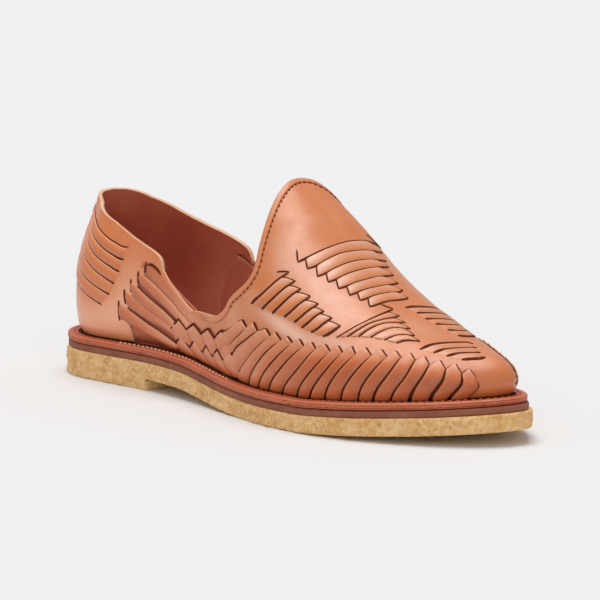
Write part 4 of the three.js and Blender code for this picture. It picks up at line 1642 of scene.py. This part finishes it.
@dataclass
class Bottom:
    """Crepe heel lift and outsole, leather midsole and welt, insole and welt stitches."""

    palette: Palette
    stack: float = 14.4
    welt: float = 3.0
    midsole: float = 3.0
    overlap: float = 0.9
    set_back: float = 2.8
    seam_inset: float = 3.4
    seam_stations: int = 900
    crevice_stations: int = 150
    # the x between which the seam is pale, on the lateral side
    pale_seam: Spot = (58.0, 152.0)

    def build(self) -> list[bpy.types.Object]:
        """Builds the layers and the stitches."""
        top = FORM.welt_top

        def under(drop: float) -> Callable[[Array], Array]:
            return lambda x: top(x) - drop

        crepe, leather = self.palette.crepe, self.palette.midsole
        layers = (
            SoleLayer(
                "crepe_heel", "crepe", crepe, inset=0.25, set_back=0.0, bottom=lambda x: np.zeros(len(x)),
                top=lambda x: np.maximum(1.0, top(x) - self.stack + self.overlap), round_over=0.7,
                rough=1.25, stations=420, wall_rows=4, front=82.0,
            ),
            SoleLayer(
                "crepe_sole", "crepe", crepe, inset=0.2, set_back=0.0,
                bottom=lambda x: np.maximum(0, top(x) - self.stack),
                top=under(self.welt + self.midsole + 0.5), round_over=0.8, rough=1.25, stations=420,
                wall_rows=6,
            ),
            SoleLayer(
                "leather_midsole", "midsole_leather", leather, inset=0.75, set_back=1.5,
                bottom=under(self.welt + self.midsole + 0.4), top=under(self.welt + 0.35), round_over=0.6,
                rough=0.16, stations=260,
            ),
            SoleLayer(
                "leather_welt", "welt_leather", self.palette.welt, inset=0.35, set_back=self.set_back,
                bottom=under(self.welt), top=under(0.0), round_over=0.8,
            ),
            SoleLayer(
                "insole_leather", "lining_leather", self.palette.lining, inset=9.2, set_back=3.0,
                bottom=lambda x: top(x) + 0.2, top=lambda x: top(x) + 3.3,
            ),
        )
        return [layer.build() for layer in layers] + self.stitches() + [self.crevice()]

    def stitches(self) -> list[bpy.types.Object]:
        """Builds the stitches round the welt, pale along the lateral side of the waist."""
        count = self.seam_stations
        turn = np.linspace(0, 2, count)
        share = (1 - np.cos(np.linspace(0, 2 * np.pi, count))) / 2
        medial = turn > 1
        x, lateral, inner = FORM.outline(share, self.seam_inset, self.set_back)
        height = FORM.welt_top(x) + 0.18
        points = np.stack([x, np.where(medial, inner, lateral), height], -1) - ORIGIN
        normals = np.tile([0.0, 0.0, 1.0], (count, 1))
        seam = (x > self.pale_seam[0]) & (x < self.pale_seam[1]) & ~medial
        start, end = int(np.argmax(seam)), len(seam) - int(np.argmax(seam[::-1]))
        pieces = []
        for name, thread, part, radius in (
            ("welt_stitches", self.palette.pale_thread, slice(start, end), 0.5),
            ("heel_stitches", self.palette.welt, slice(0, start), 0.33),
            ("toe_stitches", self.palette.welt, slice(end, count), 0.33),
        ):
            stitching = Stitching(radius, length=2.1, spacing=3.3)
            pieces.append(stitching.sew(name, points[part], normals[part], thread, "welt_leather"))
        return pieces

    def crevice(self) -> bpy.types.Object:
        """Builds the shadowed line where the upper's foot meets the welt."""
        maker = MeshMaker()
        half = self.crevice_stations

        def place(i: Array, j: Array) -> Corners:
            share = (1 - np.cos(np.pi * i / half)) / 2
            medial = i > half
            waist = 0.7 * np.exp(-((share - 0.36) / 0.25) ** 4)
            inset = np.where(j == 0, 5.3, 8.0) - np.where((j == 0) & ~medial, waist, 0)
            x, lateral, inner = FORM.outline(share, inset, self.set_back)
            points = np.stack([x, np.where(medial, inner, lateral), FORM.welt_top(x) + 0.1], -1) - ORIGIN
            return points, np.zeros(len(i)), np.zeros(len(i)), np.stack([share * UV_LENGTH, j * 2.0], -1)

        maker.grid(2 * half + 1, 2, place, np.array([0.0, 0.0, 1.0]))
        return maker.finish("welt_crevice", [self.palette.hollow], "lining_leather", 0.15)


# ---------------------------------------------------------------- the studio


@dataclass
class Studio:
    """The floor, the soft light and the camera."""

    floor_colour: Colour = (0.80, 0.80, 0.80)
    # where the camera stands, in mm in the row frame, and the point it looks at
    stand: tuple[float, float, float] = (1187.8, -1046.7, 274.9)
    target: tuple[float, float, float] = (2.0, 6.0, 47.0)
    roll: float = 0.293
    lens: float = 209.0

    def build(self) -> None:
        """Builds the studio."""
        scene = bpy.context.scene
        scene.view_settings.view_transform = "Standard"
        mesh = bmesh.new()
        bmesh.ops.create_grid(mesh, x_segments=2, y_segments=2, size=40.0)
        data = bpy.data.meshes.new("floor")
        mesh.to_mesh(data)
        mesh.free()
        floor = bpy.data.objects.new("floor", data)
        scene.collection.objects.link(floor)
        paper = PlainFinish("floor_paper", self.floor_colour, self.floor_colour, 0.9, scale=3.0)
        data.materials.append(paper.material())
        world = bpy.data.worlds.new("studio")
        scene.world = world
        world.use_nodes = True
        world.node_tree.nodes["Background"].inputs["Color"].default_value = (1, 1, 1, 1)
        world.node_tree.nodes["Background"].inputs["Strength"].default_value = 0.42
        for name, direction, strength, spread in (
            ("key", (0.16, -0.06, -1.0), 1.95, 44.0), ("fill", (-0.75, 0.65, -0.5), 0.55, 50.0),
        ):
            light = bpy.data.lights.new(name, "SUN")
            light.energy = strength
            light.angle = math.radians(spread)
            lamp = bpy.data.objects.new(name, light)
            lamp.rotation_mode = "QUATERNION"
            lamp.rotation_quaternion = Vector(direction).to_track_quat("-Z", "Y")
            scene.collection.objects.link(lamp)
        camera = bpy.data.objects.new("camera", bpy.data.cameras.new("camera"))
        scene.collection.objects.link(camera)
        camera.location = Vector(self.stand) * MM
        look = (Vector(self.target) - Vector(self.stand)).normalized()
        right = look.cross(Vector((0, 0, 1))).normalized()
        up = right.cross(look)
        roll = math.radians(self.roll)
        tilted = right * math.cos(roll) + up * math.sin(roll)
        camera.matrix_world = Matrix.Translation(camera.location) @ Matrix(
            (tilted, tilted.cross(look), -look)
        ).transposed().to_4x4()
        camera.data.sensor_width = 36.0
        camera.data.lens = self.lens
        camera.data.clip_end = 200.0
        scene.camera = camera


def main() -> None:
    logging.basicConfig(level=logging.INFO, format="%(message)s")
    palette = Palette()
    vamp = VampSheet(palette)
    upper = vamp.build()
    pieces = [upper, HeelSheet(palette).build()]
    pieces += Weave(palette).build()
    pieces += Braid(palette).build()
    pieces += QuarterStraps(palette).build()
    pieces += CounterStraps(palette).build()
    pieces += ThroatRim(palette, vamp).build()
    layers = Bottom(palette).build()
    for piece in pieces + layers:
        LOG.info("%s: %d faces", piece.name, len(piece.data.polygons))
    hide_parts("upper")
    for layer, node in zip(layers, ("heel_lift", "outsole", "midsole", "welt", "insole")):
        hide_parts(node)
    Studio().build()


if __name__ == "__main__":
    main()
